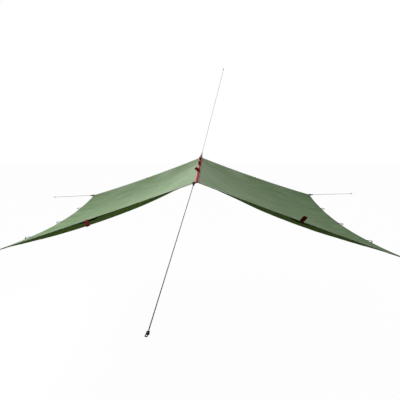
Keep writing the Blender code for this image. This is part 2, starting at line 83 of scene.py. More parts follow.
def shown_white(tree):
    """1 for the rays that show the background itself, in the view or in gloss and glass."""
    rays = step(tree, "ShaderNodeLightPath").outputs
    seen = sum_of(tree, "ADD", rays["Is Camera Ray"], rays["Is Glossy Ray"])
    return sum_of(tree, "ADD", seen, rays["Is Transmission Ray"], clamp=True)


scene = bpy.context.scene
scene.view_settings.view_transform = "Standard"

ahead = Vector(
    (
        math.sin(CAMERA_YAW) * math.cos(CAMERA_PITCH),
        math.cos(CAMERA_YAW) * math.cos(CAMERA_PITCH),
        -math.sin(CAMERA_PITCH),
    )
)
level = Vector((math.cos(CAMERA_YAW), -math.sin(CAMERA_YAW), 0))
above = level.cross(ahead)
right = level * math.cos(CAMERA_ROLL) + above * math.sin(CAMERA_ROLL)
up = above * math.cos(CAMERA_ROLL) - level * math.sin(CAMERA_ROLL)
camera = bpy.data.objects.new("camera", bpy.data.cameras.new("camera"))
scene.collection.objects.link(camera)
camera.matrix_world = Matrix.Translation(CAMERA_PLACE) @ (
    Matrix((right, up, -ahead)).transposed().to_4x4()
)
camera.data.sensor_width = 36
camera.data.lens = CAMERA_LENS
camera.data.clip_end = 200
scene.camera = camera

lamp = bpy.data.objects.new("studio_lamp", bpy.data.lights.new("studio_lamp", "AREA"))
lamp.data.energy = LAMP_POWER
lamp.data.size = LAMP_SIZE
lamp.location = LAMP_PLACE
lamp.rotation_euler = (LAMP_PLACE - LAMP_TARGET).to_track_quat("Z", "Y").to_euler()
lamp.visible_camera = False
scene.collection.objects.link(lamp)

room = bpy.data.worlds.new("studio_room")
room.use_nodes = True
tree = room.node_tree
tree.nodes.clear()
lit = step(tree, "ShaderNodeBackground", {"Color": (1, 1, 1, 1), "Strength": ROOM_STRENGTH})
white = step(tree, "ShaderNodeBackground", {"Color": (1, 1, 1, 1), "Strength": 1.0})
room_mix = step(
    tree, "ShaderNodeMixShader", {0: shown_white(tree), 1: lit.outputs[0], 2: white.outputs[0]}
)
step(tree, "ShaderNodeOutputWorld", {"Surface": room_mix.outputs[0]})
scene.world = room

floor_mesh = bpy.data.meshes.new("studio_floor")
half = FLOOR_SIZE / 2
floor_mesh.from_pydata(
    [(x, y, FLOOR_HEIGHT) for x, y in ((-half, -half), (half, -half), (half, half), (-half, half))],
    [],
    [(0, 1, 2, 3)],
)
floor_finish = bpy.data.materials.new("studio_floor")
floor_finish.use_nodes = True
tree = floor_finish.node_tree
tree.nodes.clear()
dull = step(tree, "ShaderNodeBsdfDiffuse", {"Color": (*FLOOR_SHADE, 1)})
glow = step(tree, "ShaderNodeEmission", {"Color": (1, 1, 1, 1), "Strength": FLOOR_GLOW})
seen = step(tree, "ShaderNodeAddShader", {0: dull.outputs[0], 1: glow.outputs[0]})
floor_mix = step(
    tree, "ShaderNodeMixShader", {0: shown_white(tree), 1: dull.outputs[0], 2: seen.outputs[0]}
)
step(tree, "ShaderNodeOutputMaterial", {"Surface": floor_mix.outputs[0]})
floor_mesh.materials.append(floor_finish)
floor = bpy.data.objects.new("studio_floor", floor_mesh)
scene.collection.objects.link(floor)

# Cords: four braided 4 mm cords, near black with pale flecks. Each is tied into the eye of its
# webbing loop with a bight and turns round itself, runs taut, and ends in a stopper knot
# just outside the view, where a tree, pole or peg would hold it.
CORD = 0.004
CORD_GAP = 0.0005
CORD_SIDES = 12
KNOT_TURNS = 2.5
KNOT_PITCH = 0.0046
BIGHT_LENGTH = 0.026
TAIL = 0.008
# The straps that the cords are tied to: their thickness, and each one's width and eye
STRAP_SOLID = 0.0015
END_STRAP_WIDTH, END_EYE_RADIUS = 0.015, 0.005
STRAP_WIDTH, EYE_RADIUS = 0.025, 0.006
CORNER_TURN = 38.0
# name: eye's middle, elevation and turn of the pull, its end and side, direction of the eye's
# width, length from the eye to the tip, the eye's radius, and the strap's width
CORDS = {
    "near_ridge_cord": (
        (-0.01489, -1.53174, -0.00219),
        (-15.0, 5.2, -1, -1),
        (0.99588, -0.09063, 0.0),
        (1.43, END_EYE_RADIUS, END_STRAP_WIDTH),
    ),
    "far_ridge_cord": (
        (0.00549, 1.52475, 0.02747),
        (39.8, 12.5, 1, 1),
        (0.97630, -0.21644, 0.0),
        (2.04, END_EYE_RADIUS, END_STRAP_WIDTH),
    ),
    "left_guyline": (
        (-1.43971, 1.52118, -0.50825),
        (-6.6, 90 - CORNER_TURN, 1, -1),
        (0.57222, 0.78001, 0.25328),
        (0.89, EYE_RADIUS, STRAP_WIDTH),
    ),
    "right_guyline": (
        (1.44599, 1.52137, -0.48924),
        (-3.7, 90 - CORNER_TURN, 1, 1),
        (0.58118, -0.77117, -0.25983),
        (0.93, EYE_RADIUS, STRAP_WIDTH),
    ),
}


def blend(start, end, share):
    return start + (end - start) * share


def arc(centre, radius, first, last, count):
    """Points of an arc in a plane, with the angles in degrees."""
    angles = [math.radians(blend(first, last, i / count)) for i in range(count + 1)]
    return [(centre[0] + radius * math.cos(a), centre[1] + radius * math.sin(a)) for a in angles]


def pull_direction(elevation, turn, end, side):
    """A direction out of the near or far end, turned to one side and raised."""
    rise, aside = math.radians(elevation), math.radians(turn)
    return Vector(
        (
            side * math.cos(rise) * math.sin(aside),
            end * math.cos(rise) * math.cos(aside),
            math.sin(rise),
        )
    )


def spread_curve(points, pieces, spacing):
    """Points a spacing apart on a Catmull-Rom curve through the given ones, and the length left
    over at its end. A point's numbers past the third are carried along with it."""
    dense = []
    ends = [2 * points[0] - points[1], *points, 2 * points[-1] - points[-2]]
    for p0, p1, p2, p3 in zip(ends, ends[1:], ends[2:], ends[3:]):
        for i in range(pieces):
            t = i / pieces
            along = (p2 - p0) * t + (2 * p0 - 5 * p1 + 4 * p2 - p3) * t * t
            dense.append(0.5 * (2 * p1 + along + (3 * p1 - p0 - 3 * p2 + p3) * t * t * t))
    dense.append(points[-1])
    kept = [dense[0]]
    run = 0.0
    for before, here in zip(dense, dense[1:]):
        run += (Vector(here[:3]) - Vector(before[:3])).length
        if run >= spacing:
            kept.append(here)
            run = 0.0
    return kept, run


def smooth_curve(points, spacing):
    """Evenly spaced points of a smooth curve through the given ones, with its last point."""
    kept, _ = spread_curve(points, 16, spacing)
    if (kept[-1] - points[-1]).length < spacing / 2:
        kept.pop()
    return kept + [points[-1]]


def winding(first, last, start_angle, turns, radius):
    """Turns of the cord round its own standing part, as (out, aside, up) points."""
    count = round(turns * 18)
    points = []
    for i in range(count + 1):
        angle = math.radians(start_angle) + 2 * math.pi * turns * i / count
        out = blend(first, last, i / count)
        points.append(Vector((out, radius * math.cos(angle), radius * math.sin(angle))))
    return points


def cord_route(length, eye_radius, strap_width):
    """The cord's points as (out, aside, up) from the eye's middle: its tail, the turns of the
    knot, the bight through the eye, the standing part, and a stopper knot at the far end."""
    radius = CORD + CORD_GAP
    bar = eye_radius - STRAP_SOLID / 2 - CORD_GAP - CORD / 2
    half = strap_width / 2 + CORD_GAP + CORD
    corner = CORD
    wound = KNOT_TURNS * KNOT_PITCH
    knot = bar + BIGHT_LENGTH
    spacing = 0.6 * CORD
    route = [Vector((knot + wound + TAIL, radius, 0))]
    route += winding(knot + wound, knot, 0, KNOT_TURNS, radius)
    bight = [Vector((knot, -radius, 0)), Vector((knot - radius, -radius * 1.05, 0))]
    for out, aside in arc((bar + corner, corner - half), corner, 180, 270, 3)[::-1]:
        bight.append(Vector((out, aside, 0)))
    for out, aside in arc((bar + corner, half - corner), corner, 90, 180, 3)[::-1]:
        bight.append(Vector((out, aside, 0)))
    bight += [Vector((knot - radius, radius * 0.35, 0)), Vector((knot + radius, 0, 0))]
    route += smooth_curve(bight, spacing)[1:]
    stop = length - 3 * CORD
    begin = knot + wound + TAIL + CORD
    finish = stop - wound
    for i in range(13):
        route.append(Vector((blend(begin, finish - CORD, i / 12), 0, 0)))
    turn = [Vector((finish, 0, 0)), Vector((stop - CORD, 0, 0)), Vector((stop, 0.0002, 0))]
    for out, aside in arc((length - CORD, -radius / 2), CORD, 75, -75, 4):
        turn.append(Vector((out, aside, 0)))
    turn += [Vector((stop, -radius, 0))]
    route += smooth_curve(turn, spacing)[:-1]
    route += winding(stop, finish, 180, KNOT_TURNS, radius)
    return route


def new_tree(name, *inputs):
    """An empty geometry tree with named inputs, given as (name, kind, value)."""
    made = bpy.data.node_groups.new(name, "GeometryNodeTree")
    made.interface.new_socket("Geometry", in_out="INPUT", socket_type="NodeSocketGeometry")
    for label, kind, value in inputs:
        socket = made.interface.new_socket(label, in_out="INPUT", socket_type="NodeSocket" + kind)
        if value is not None:
            socket.default_value = value
    made.interface.new_socket("Geometry", in_out="OUTPUT", socket_type="NodeSocketGeometry")
    return made, step(made, "NodeGroupInput").outputs


def end_tree(tree, geometry, finish, other_finish=None, other_part=None):
    """The tree's last nodes, which make its instances real and give them their finish, and
    one part of them another finish."""
    real = step(tree, "GeometryNodeRealizeInstances", {"Geometry": geometry})
    smooth = step(tree, "GeometryNodeSetShadeSmooth", {"Geometry": real.outputs[0]})
    given = step(
        tree, "GeometryNodeSetMaterial", {"Geometry": smooth.outputs[0], "Material": finish}
    )
    if other_finish is not None:
        other = {"Geometry": given.outputs[0], "Selection": other_part, "Material": other_finish}
        given = step(tree, "GeometryNodeSetMaterial", other)
    step(tree, "NodeGroupOutput", {"Geometry": given.outputs[0]})


def shaped(item, tree, **values):
    """Runs a tree on an object, and leaves it with the plain mesh that comes out."""
    modifier = item.modifiers.new(tree.name, "NODES")
    modifier.node_group = tree
    for socket in tree.interface.items_tree:
        label = socket.name.replace(" ", "_").lower()
        if socket.in_out == "INPUT" and label in values:
            modifier[socket.identifier] = values[label]
    return made_plain(item)


def made_plain(item):
    """Applies an object's modifiers, so that it holds one plain mesh."""
    bpy.context.view_layer.update()
    graph = bpy.context.evaluated_depsgraph_get()
    mesh = bpy.data.meshes.new_from_object(item.evaluated_get(graph), depsgraph=graph)
    item.modifiers.clear()
    before = item.data
    item.data = mesh
    bpy.data.meshes.remove(before)
    mesh.name = item.name
    return item


def new_piece(name, points, edges=(), faces=(), **attributes):
    """A mesh object, with its attributes given as a list of numbers or vectors each."""
    mesh = bpy.data.meshes.new(name)
    mesh.from_pydata([tuple(p) for p in points], edges, faces)
    for label, values in attributes.items():
        vector = hasattr(values[0], "__len__")
        made = mesh.attributes.new(label, "FLOAT_VECTOR" if vector else "FLOAT", "POINT")
        flat = [x for v in values for x in v] if vector else values
        made.data.foreach_set("vector" if vector else "value", flat)
    item = bpy.data.objects.new(name, mesh)
    scene.collection.objects.link(item)
    return item


def chain(count, first=0):
    """The edges that join a run of points."""
    return [(first + i, first + i + 1) for i in range(count - 1)]


def stored_uv(tree, geometry, u, v):
    both = step(tree, "ShaderNodeCombineXYZ", {"X": u, "Y": v})
    stored = step(
        tree,
        "GeometryNodeStoreNamedAttribute",
        {"Geometry": geometry, "Name": "UVMap", "Value": both.outputs[0]},
        data_type="FLOAT2",
        domain="CORNER",
    )
    return stored.outputs[0]


def captured(tree, geometry, kind, value):
    """Keeps a value of a geometry's points for later steps, as (geometry, value)."""
    node = tree.nodes.new("GeometryNodeCaptureAttribute")
    node.capture_items.new(kind, "kept")
    tree.links.new(geometry, node.inputs["Geometry"])
    tree.links.new(value, node.inputs["kept"])
    return node.outputs["Geometry"], node.outputs["kept"]


# The tree that makes a round cord along a path, with its length and turn as a UV map
cord_tree, given = new_tree(
    "round cord",
    ("Diameter", "Float", CORD),
    ("Sides", "Int", CORD_SIDES),
    ("Finish", "Material", None),
)
line = step(cord_tree, "GeometryNodeMeshToCurve", {"Mesh": given["Geometry"]}).outputs[0]
reach = step(cord_tree, "GeometryNodeSplineParameter").outputs
line, run = captured(cord_tree, line, "FLOAT", reach["Length"])
radius = sum_of(cord_tree, "MULTIPLY", given["Diameter"], 0.5)
ring = step(
    cord_tree, "GeometryNodeCurvePrimitiveCircle", {"Resolution": given["Sides"], "Radius": radius}
).outputs[0]
ring, turn = captured(cord_tree, ring, "FLOAT", reach["Factor"])
tube = step(
    cord_tree,
    "GeometryNodeCurveToMesh",
    {"Curve": line, "Profile Curve": ring, "Fill Caps": True},
).outputs[0]
end_tree(cord_tree, stored_uv(cord_tree, tube, run, turn), given["Finish"])


def new_finish(name, roughness, **settings):
    """A material with one Principled shader, as (material, tree, shader)."""
    made = bpy.data.materials.new(name)
    made.use_nodes = True
    tree = made.node_tree
    shader = tree.nodes["Principled BSDF"]
    shader.inputs["Roughness"].default_value = roughness
    for label, value in settings.items():
        shader.inputs[label.replace("_", " ").title().replace("Ior", "IOR")].default_value = value
    return made, tree, shader


def two_colours(tree, factor, first, second):
    """A colour between two, each given as numbers or as a socket, by a factor from 0 to 1."""
    given = {0: factor}
    for key, colour in ((6, first), (7, second)):
        given[key] = colour if isinstance(colour, bpy.types.NodeSocket) else (*colour, 1)
    return step(tree, "ShaderNodeMix", given, data_type="RGBA").outputs[2]


def flat_place(tree):
    """A piece's own UV map in metres, as a vector and as its two numbers."""
    uv = step(tree, "ShaderNodeUVMap", uv_map="UVMap").outputs[0]
    return uv, step(tree, "ShaderNodeSeparateXYZ", {"Vector": uv}).outputs


def wave(tree, value, length):
    """A sine of a value, from 0 to 1, with one wave per length."""
    angle = sum_of(tree, "MULTIPLY", value, 2 * math.pi / length)
    swing = sum_of(tree, "SINE", angle)
    return sum_of(tree, "MULTIPLY_ADD", swing, 0.5, 0.5)


def bumped(tree, height, distance, below=None):
    """A bump of a height from 0 to 1, as a normal."""
    inputs = {"Height": height, "Distance": distance, "Strength": 1.0}
    if below is not None:
        inputs["Normal"] = below
    return step(tree, "ShaderNodeBump", inputs).outputs[0]


CORD_DARK = (0.010, 0.010, 0.011)
CORD_GREY = (0.032, 0.032, 0.034)
TRACER_PALE = (0.38, 0.38, 0.37)
BRAID_PITCH = 0.0072
TRACER_PITCH = 0.026
TRACER_PART = 0.88
cord_finish, tree, shader = new_finish("cord_braid", 0.75, specular_ior_level=0.08)
_, place = flat_place(tree)
turns = sum_of(tree, "MULTIPLY", place["Y"], BRAID_PITCH * 2)
one_way = wave(tree, sum_of(tree, "ADD", place["X"], turns), BRAID_PITCH / 3)
other_way = wave(tree, sum_of(tree, "SUBTRACT", place["X"], turns), BRAID_PITCH / 3)
strands = sum_of(tree, "MAXIMUM", one_way, other_way)
tracer = wave(tree, sum_of(tree, "ADD", place["X"], turns), TRACER_PITCH)
tracer = sum_of(tree, "GREATER_THAN", tracer, TRACER_PART)
# The braid's strands are painted grey on their crests and darker between them: painted highlight
# and shade of the braid
braid = two_colours(tree, strands, CORD_DARK, CORD_GREY)
flecked = two_colours(tree, tracer, braid, TRACER_PALE)
tree.links.new(flecked, shader.inputs["Base Color"])
tree.links.new(bumped(tree, strands, 0.0002), shader.inputs["Normal"])

for name, (eye, pull_words, wide, sizes) in CORDS.items():
    eye, wide = Vector(eye), Vector(wide).normalized()
    pull = pull_direction(*pull_words)
    rise = wide.cross(pull).normalized()
    route = [eye + pull * p.x + wide * p.y + rise * p.z for p in cord_route(*sizes)]
    piece = new_piece(f"{name}_braid", route, chain(len(route)))
    shaped(piece, cord_tree, diameter=CORD, sides=CORD_SIDES, finish=cord_finish)
    run = sum((b - a).length for a, b in zip(route, route[1:]))
    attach(piece, name)
    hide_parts(name)

# Cloth panels: two sheets of thin coated rip-stop cloth, each cut 3.0 by 1.5 m. Each is
# rolled into the ridge seam along one side and has a 20 mm hem folded under along the other
# three. The slack cloth hangs in a belly between its loops, with creases across it.
LENGTH = 3.0
HALF_WIDTH = 1.5
INNER = 0.0038
SHAPES = {
    "left": {"near_slope": 19.0, "far_slope": 19.6},
    "right": {"near_slope": 20.1, "far_slope": 18.9},
}
PITCH = {
    "side_bow_in": 0.045,
    "side_bow_down": 0.081,
    "near_edge_sag": 0.006,
    "far_edge_sag": 0.018,
    "belly": 0.097,
}
# A higher power lets the belly begin closer behind the end edges
BELLY_POWER_RIDGE = 11
BELLY_POWER_SIDE = 4
# Folds: where each starts at the ridge and ends at the side edge, as a share of the length
# from the near end, then its height and half width
FOLDS = {
    "left": (
        (0.90, 0.93, -0.007, 0.12),
        (0.66, 0.74, 0.009, 0.14),
        (0.48, 0.44, -0.009, 0.14),
        (0.30, 0.20, 0.009, 0.13),
        (0.12, 0.08, -0.006, 0.11),
    ),
    "right": (
        (0.93, 0.88, -0.007, 0.12),
        (0.70, 0.64, 0.009, 0.14),
        (0.50, 0.58, -0.009, 0.15),
        (0.27, 0.34, 0.009, 0.13),
        (0.16, 0.10, -0.006, 0.11),
    ),
}
# Creases: as the folds, and then the middle and the half length of the crease itself, as
# shares of the way from the ridge to the side edge
CREASES = {
    "left": (
        (0.80, 0.81, -0.0050, 0.035, 0.45, 0.42),
        (0.84, 0.86, 0.0030, 0.030, 0.40, 0.38),
        (0.62, 0.40, 0.0035, 0.040, 0.35, 0.34),
        (0.52, 0.18, -0.0035, 0.035, 0.38, 0.36),
        (0.36, 0.10, 0.0030, 0.035, 0.30, 0.28),
        (0.24, 0.16, -0.0030, 0.030, 0.28, 0.25),
        (0.70, 0.60, -0.0030, 0.045, 0.70, 0.26),
        (0.33, 0.45, 0.0030, 0.045, 0.74, 0.22),
        (0.57, 0.66, 0.0025, 0.035, 0.60, 0.30),
        (0.925, 0.925, 0.0080, 0.045, 0.50, 0.62),
        (0.955, 0.955, -0.0050, 0.030, 0.50, 0.62),
    ),
    "right": (
        (0.80, 0.79, -0.0050, 0.035, 0.48, 0.44),
        (0.85, 0.84, 0.0030, 0.030, 0.42, 0.38),
        (0.28, 0.06, -0.0050, 0.035, 0.34, 0.32),
        (0.22, 0.10, 0.0030, 0.030, 0.30, 0.26),
        (0.55, 0.38, 0.0040, 0.045, 0.34, 0.32),
        (0.48, 0.24, -0.0030, 0.035, 0.42, 0.36),
        (0.68, 0.72, 0.0030, 0.045, 0.70, 0.24),
        (0.42, 0.50, -0.0030, 0.040, 0.70, 0.26),
        (0.62, 0.52, -0.0025, 0.035, 0.55, 0.30),
        (0.930, 0.920, 0.0080, 0.045, 0.50, 0.62),
        (0.960, 0.955, -0.0050, 0.030, 0.50, 0.62),
    ),
}
# Folds swell most nearer to the ridge, as their power is below 1. Folds and creases die out
# where the edge's bow, or the dip between ridge and side edge, is a smaller share than these.
SWELL_POWER = 0.6
FOLD_LEAST_BOW = 0.3
FOLD_LEAST_DIP = 0.1
# Pulls: the places of the loops, as (across, along), that the cloth wrinkles towards
PULL_HEIGHT = 0.0016
PULL_REACH = 0.13
PULL_START = 0.050
PULL_COUNT = 12
# How far an end edge's loop is from the edge's middle, towards the ridge
EDGE_SHIFTS = {("right", "near"): 0.034}
SIDES = {"left": -1, "right": 1}
ENDS = {"near": -1, "far": 1}
QUARTERS = {"near": 0.25, "middle": 0.5, "far": 0.75}


def edge_middle(side, end):
    return (INNER + HALF_WIDTH) / 2 - EDGE_SHIFTS.get((side, end), 0.0)


PULLS = {
    side: [(HALF_WIDTH, LENGTH * run) for run in (0, 0.25, 0.5, 0.75, 1)]
    + [(edge_middle(side, "near"), 0), (edge_middle(side, "far"), LENGTH)]
    for side in SIDES
}
PLAIN_SUMS = {
    "ADD": lambda a, b: a + b,
    "SUBTRACT": lambda a, b: a - b,
    "MULTIPLY": lambda a, b: a * b,
    "DIVIDE": lambda a, b: a / b,
    "POWER": lambda a, b: a**b,
    "MAXIMUM": max,
    "MINIMUM": min,
    "ABSOLUTE": abs,
    "SINE": math.sin,
    "COSINE": math.cos,
    "EXPONENT": math.exp,
    "ARCTAN2": math.atan2,
}


class Rule:
    """A number of a tree, so that one rule in plain sums can shape a mesh with nodes and also
    say where one point of it lies."""

    def __init__(self, tree, socket):
        self.tree = tree
        self.socket = socket

    def __add__(self, other):
        return worked("ADD", self, other)

    def __radd__(self, other):
        return worked("ADD", other, self)

    def __sub__(self, other):
        return worked("SUBTRACT", self, other)

    def __rsub__(self, other):
        return worked("SUBTRACT", other, self)

    def __mul__(self, other):
        return worked("MULTIPLY", self, other)

    def __rmul__(self, other):
        return worked("MULTIPLY", other, self)

    def __truediv__(self, other):
        return worked("DIVIDE", self, other)

    def __neg__(self):
        return worked("MULTIPLY", self, -1.0)


def worked(operation, *values):
    """One sum, done now for plain numbers, or by a node where one is a tree's number."""
    tree = next((v.tree for v in values if isinstance(v, Rule)), None)
    if tree is None:
        return PLAIN_SUMS[operation](*values)
    inputs = {i: v.socket if isinstance(v, Rule) else float(v) for i, v in enumerate(values)}
    return Rule(tree, step(tree, "ShaderNodeMath", inputs, operation=operation).outputs[0])


def hump(value):
    return worked("EXPONENT", -(value * value))


def cloth_place(
    side,
    across,
    along,
    near_slope,
    far_slope,
    side_bow_in,
    side_bow_down,
    near_edge_sag,
    far_edge_sag,
    belly,
):
    """Where a point of the flat cloth lies when the tarp is pitched, as (x, y, z). across
    runs from the seam to the side edge, and along from the near edge to the far one."""
    share = worked("MAXIMUM", (across - INNER) / (HALF_WIDTH - INNER), 0.0)
    run = along / LENGTH
    bow = 4 * run * (1 - run)
    dip = 4 * share * (1 - share)
    slope = blend(near_slope, far_slope, run) * (math.pi / 180)
    reach = worked("MINIMUM", across, INNER) + share * (HALF_WIDTH - INNER - side_bow_in * bow)
    middle = worked("ABSOLUTE", 2 * run - 1)
    power = blend(BELLY_POWER_SIDE, BELLY_POWER_RIDGE, worked("POWER", 1 - share, 5.0))
    hang = side_bow_down * bow * share * share
    hang = hang + belly * dip * (1 - worked("POWER", middle, power))
    hang = hang + blend(near_edge_sag, far_edge_sag, run) * dip
    rise = 0.0
    for at_ridge, at_side, height, width in FOLDS[side]:
        off = (run - blend(at_ridge, at_side, share)) * (LENGTH / width)
        rise = rise + height * hump(off)
    swell = worked("SINE", math.pi * worked("POWER", share, SWELL_POWER))
    rise = rise * swell
    for at_ridge, at_side, height, width, centre, half in CREASES[side]:
        off = (run - blend(at_ridge, at_side, share)) * (LENGTH / width)
        spread = (share - centre) / half
        rise = rise + height * hump(off) * hump(spread * spread)
    rise = rise * worked("MINIMUM", 1.0, bow / FOLD_LEAST_BOW)
    rise = rise * worked("MINIMUM", 1.0, dip / FOLD_LEAST_DIP)
    for pull_across, pull_along in PULLS[side]:
        out, aside = across - pull_across, along - pull_along
        far = (out * out + aside * aside) / PULL_REACH**2
        angle = worked("ARCTAN2", aside, out)
        start = 1 - worked("EXPONENT", -far * (PULL_REACH / PULL_START) ** 2)
        ripple = worked("COSINE", PULL_COUNT * angle)
        rise = rise + PULL_HEIGHT * ripple * worked("EXPONENT", -far) * start
    return (
        SIDES[side] * reach * worked("COSINE", slope),
        along - LENGTH / 2,
        rise - hang - reach * worked("SINE", slope),
    )


NORMAL_REACH = 0.002
# Small waves of the cloth: their size across and along, and their height. The last are fine
# wrinkles that run from the ridge to the side edge. All are gone beside the edges, and full
# a hand's width from them.
WAVES = ((0.30, 0.30, 0.0024), (0.09, 0.09, 0.0009), (0.80, 0.055, 0.0016))
WAVE_FREE_EDGE = 0.02
WAVE_GROWTH = 0.08


def on_cloth(side, across, along, lift=0.0):
    """A point of one panel, raised above the middle of the cloth, with the cloth's normal."""
    sizes = {**SHAPES[side], **PITCH}
    here = Vector(cloth_place(side, across, along, **sizes))
    outward = Vector(cloth_place(side, across + NORMAL_REACH, along, **sizes)) - here
    onward = Vector(cloth_place(side, across, along + NORMAL_REACH, **sizes)) - here
    normal = outward.cross(onward).normalized() * SIDES[side]
    return here + normal * lift, normal


def cloth_surface(side):
    """The tree that tells where the flat cloth's points lie, with small waves added."""
    made = bpy.data.node_groups.new(f"{side} cloth surface", "GeometryNodeTree")
    labels = ["across", "along", *SHAPES[side], *PITCH, "crinkle", "seed"]
    for label in labels:
        made.interface.new_socket(label, in_out="INPUT", socket_type="NodeSocketFloat")
    made.interface.new_socket("place", in_out="OUTPUT", socket_type="NodeSocketVector")
    given = {
        label: Rule(made, socket)
        for label, socket in zip(labels, step(made, "NodeGroupInput").outputs)
    }
    across, along = given["across"], given["along"]
    sizes = {label: given[label] for label in (*SHAPES[side], *PITCH)}
    x, y, z = cloth_place(side, across, along, **sizes)
    waves = 0.0
    for out, on, height in WAVES:
        spot = step(
            made,
            "ShaderNodeCombineXYZ",
            {"X": (across / out).socket, "Y": (along / on).socket, "Z": given["seed"].socket},
        ).outputs[0]
        noise = step(made, "ShaderNodeTexNoise", {"Vector": spot, "Scale": 1.0, "Detail": 1.5})
        waves = waves + (Rule(made, noise.outputs[0]) - 0.5) * (2 * height)
    edge = worked("MINIMUM", HALF_WIDTH - across, worked("MINIMUM", along, LENGTH - along))
    edge = worked("MINIMUM", edge, across) - WAVE_FREE_EDGE
    clear = worked("MINIMUM", 1.0, worked("MAXIMUM", 0.0, edge / WAVE_GROWTH))
    z = z + waves * given["crinkle"] * clear * clear
    place = step(made, "ShaderNodeCombineXYZ", {"X": x.socket, "Y": y.socket, "Z": z.socket})
    step(made, "NodeGroupOutput", {"place": place.outputs[0]})
    return made


# What lies lower than this on the flat cloth is its underside
UNDER_LIFT = 0.00025


def laying_tree(side):
    """The tree that lays flat work on one panel: x is across, y along and z the lift."""
    labels = [*SHAPES[side], *PITCH, "crinkle", "seed"]
    sizes = {**SHAPES[side], **PITCH, "crinkle": 1.0, "seed": 3.0 + SIDES[side]}
    made, given = new_tree(
        f"{side} cloth",
        *[(label, "Float", sizes[label]) for label in labels],
        ("finish", "Material", None),
        ("underside", "Material", None),
    )
    surface = cloth_surface(side)
    spot = step(made, "GeometryNodeInputPosition").outputs[0]
    flat = step(made, "ShaderNodeSeparateXYZ", {"Vector": spot}).outputs
    low = sum_of(made, "LESS_THAN", flat["Z"], UNDER_LIFT)
    marked = step(
        made,
        "GeometryNodeStoreNamedAttribute",
        {"Geometry": given["Geometry"], "Name": "under", "Value": low},
        data_type="FLOAT",
    ).outputs[0]
    places = []
    for more_across, more_along in ((0, 0), (NORMAL_REACH, 0), (0, NORMAL_REACH)):
        node = made.nodes.new("GeometryNodeGroup")
        node.node_tree = surface
        made.links.new(sum_of(made, "ADD", flat["X"], more_across), node.inputs["across"])
        made.links.new(sum_of(made, "ADD", flat["Y"], more_along), node.inputs["along"])
        for label in labels:
            made.links.new(given[label], node.inputs[label])
        places.append(node.outputs[0])

    def vectors(operation, first, second, output=0):
        node = step(made, "ShaderNodeVectorMath", {0: first, 1: second}, operation=operation)
        return node.outputs[output]

    outward = vectors("SUBTRACT", places[1], places[0])
    onward = vectors("SUBTRACT", places[2], places[0])
    order = (outward, onward) if side == "right" else (onward, outward)
    normal = vectors("NORMALIZE", vectors("CROSS_PRODUCT", *order), (0, 0, 0))
    raised = step(
        made, "ShaderNodeVectorMath", {0: normal, "Scale": flat["Z"]}, operation="SCALE"
    ).outputs[0]
    moved = step(
        made,
        "GeometryNodeSetPosition",
        {"Geometry": marked, "Position": vectors("ADD", places[0], raised)},
    ).outputs[0]
    if side == "left":
        moved = step(made, "GeometryNodeFlipFaces", {"Mesh": moved}).outputs[0]
    under = step(made, "GeometryNodeInputNamedAttribute", {"Name": "under"}).outputs[0]
    end_tree(made, moved, given["finish"], given["underside"], under)
    return made


LAYING = {side: laying_tree(side) for side in SIDES}
CLOTH_THICK = 0.0005
CLOTH_LIFT = 0.0003
FLAP_LIFT = -0.00055
HEM_WIDTH = 0.020
HEM_ROUND = 0.0003
SEAM_TUCK = 0.001
CELL_ACROSS = 0.016
CELL_ALONG = 0.010


def stops(first, last, gap):
    count = math.ceil((last - first) / gap - 1e-6)
    return [blend(first, last, i / count) for i in range(count + 1)]


# The lines of the cloth's cells, which the patches under it share
ACROSS_LINES = [*stops(SEAM_TUCK, HALF_WIDTH - HEM_WIDTH, CELL_ACROSS), HALF_WIDTH]
ALONG_LINES = [0, *stops(HEM_WIDTH, LENGTH - HEM_WIDTH, CELL_ALONG), LENGTH]


def flat_panel():
    """A panel's flat pattern with its hem folded under, as points and faces."""
    points, faces = [], []
    rows = len(ALONG_LINES)
    for a in ACROSS_LINES:
        points += [(a, b, CLOTH_LIFT) for b in ALONG_LINES]
    for i in range(len(ACROSS_LINES) - 1):
        for j in range(rows - 1):
            corner = i * rows + j
            faces.append((corner, corner + rows, corner + rows + 1, corner + 1))
    last = len(ACROSS_LINES) - 1
    border = [i * rows for i in range(last + 1)]
    border += [last * rows + j for j in range(1, rows)]
    border += [i * rows + rows - 1 for i in reversed(range(last))]
    flap, folded = {}, []
    middle = (CLOTH_LIFT + FLAP_LIFT) / 2
    for index in border:
        a, b, _ = points[index]
        out_a = HEM_ROUND if a == HALF_WIDTH else 0
        out_b = {0: -HEM_ROUND, LENGTH: HEM_ROUND}.get(b, 0)
        spot = (min(a, HALF_WIDTH - HEM_WIDTH), min(max(b, HEM_WIDTH), LENGTH - HEM_WIDTH))
        if spot not in flap:
            flap[spot] = len(points)
            points.append((*spot, FLAP_LIFT))
        points.append((a + out_a, b + out_b, middle))
        points.append((a, b, FLAP_LIFT))
        folded.append((index, len(points) - 2, len(points) - 1, flap[spot]))
    for (e0, m0, f0, s0), (e1, m1, f1, s1) in zip(folded, folded[1:]):
        faces += [(e1, e0, m0, m1), (m1, m0, f0, f1)]
        faces.append((f1, f0, s0) if s0 == s1 else (f1, f0, s0, s1))
    return points, faces


def give_flat_uv(item):
    """A UV map in metres of the flat cloth, from points that aren't laid yet."""
    layer = item.data.uv_layers.new(name="UVMap")
    for loop in item.data.loops:
        layer.data[loop.index].uv = item.data.vertices[loop.vertex_index].co.xy


def thicken(item, thickness):
    solid = item.modifiers.new("thickness", "SOLIDIFY")
    solid.thickness = thickness
    solid.offset = 0
    return made_plain(item)


def laid(item, side, finish, underside=None):
    return shaped(item, LAYING[side], finish=finish, underside=underside or finish)


CLOTH_GREEN = (0.600, 0.700, 0.530)
CLOTH_DEEP = (0.215, 0.395, 0.165)
CLOTH_THROUGH = (0.40, 0.52, 0.25)
THROUGH_SHARE = 0.30
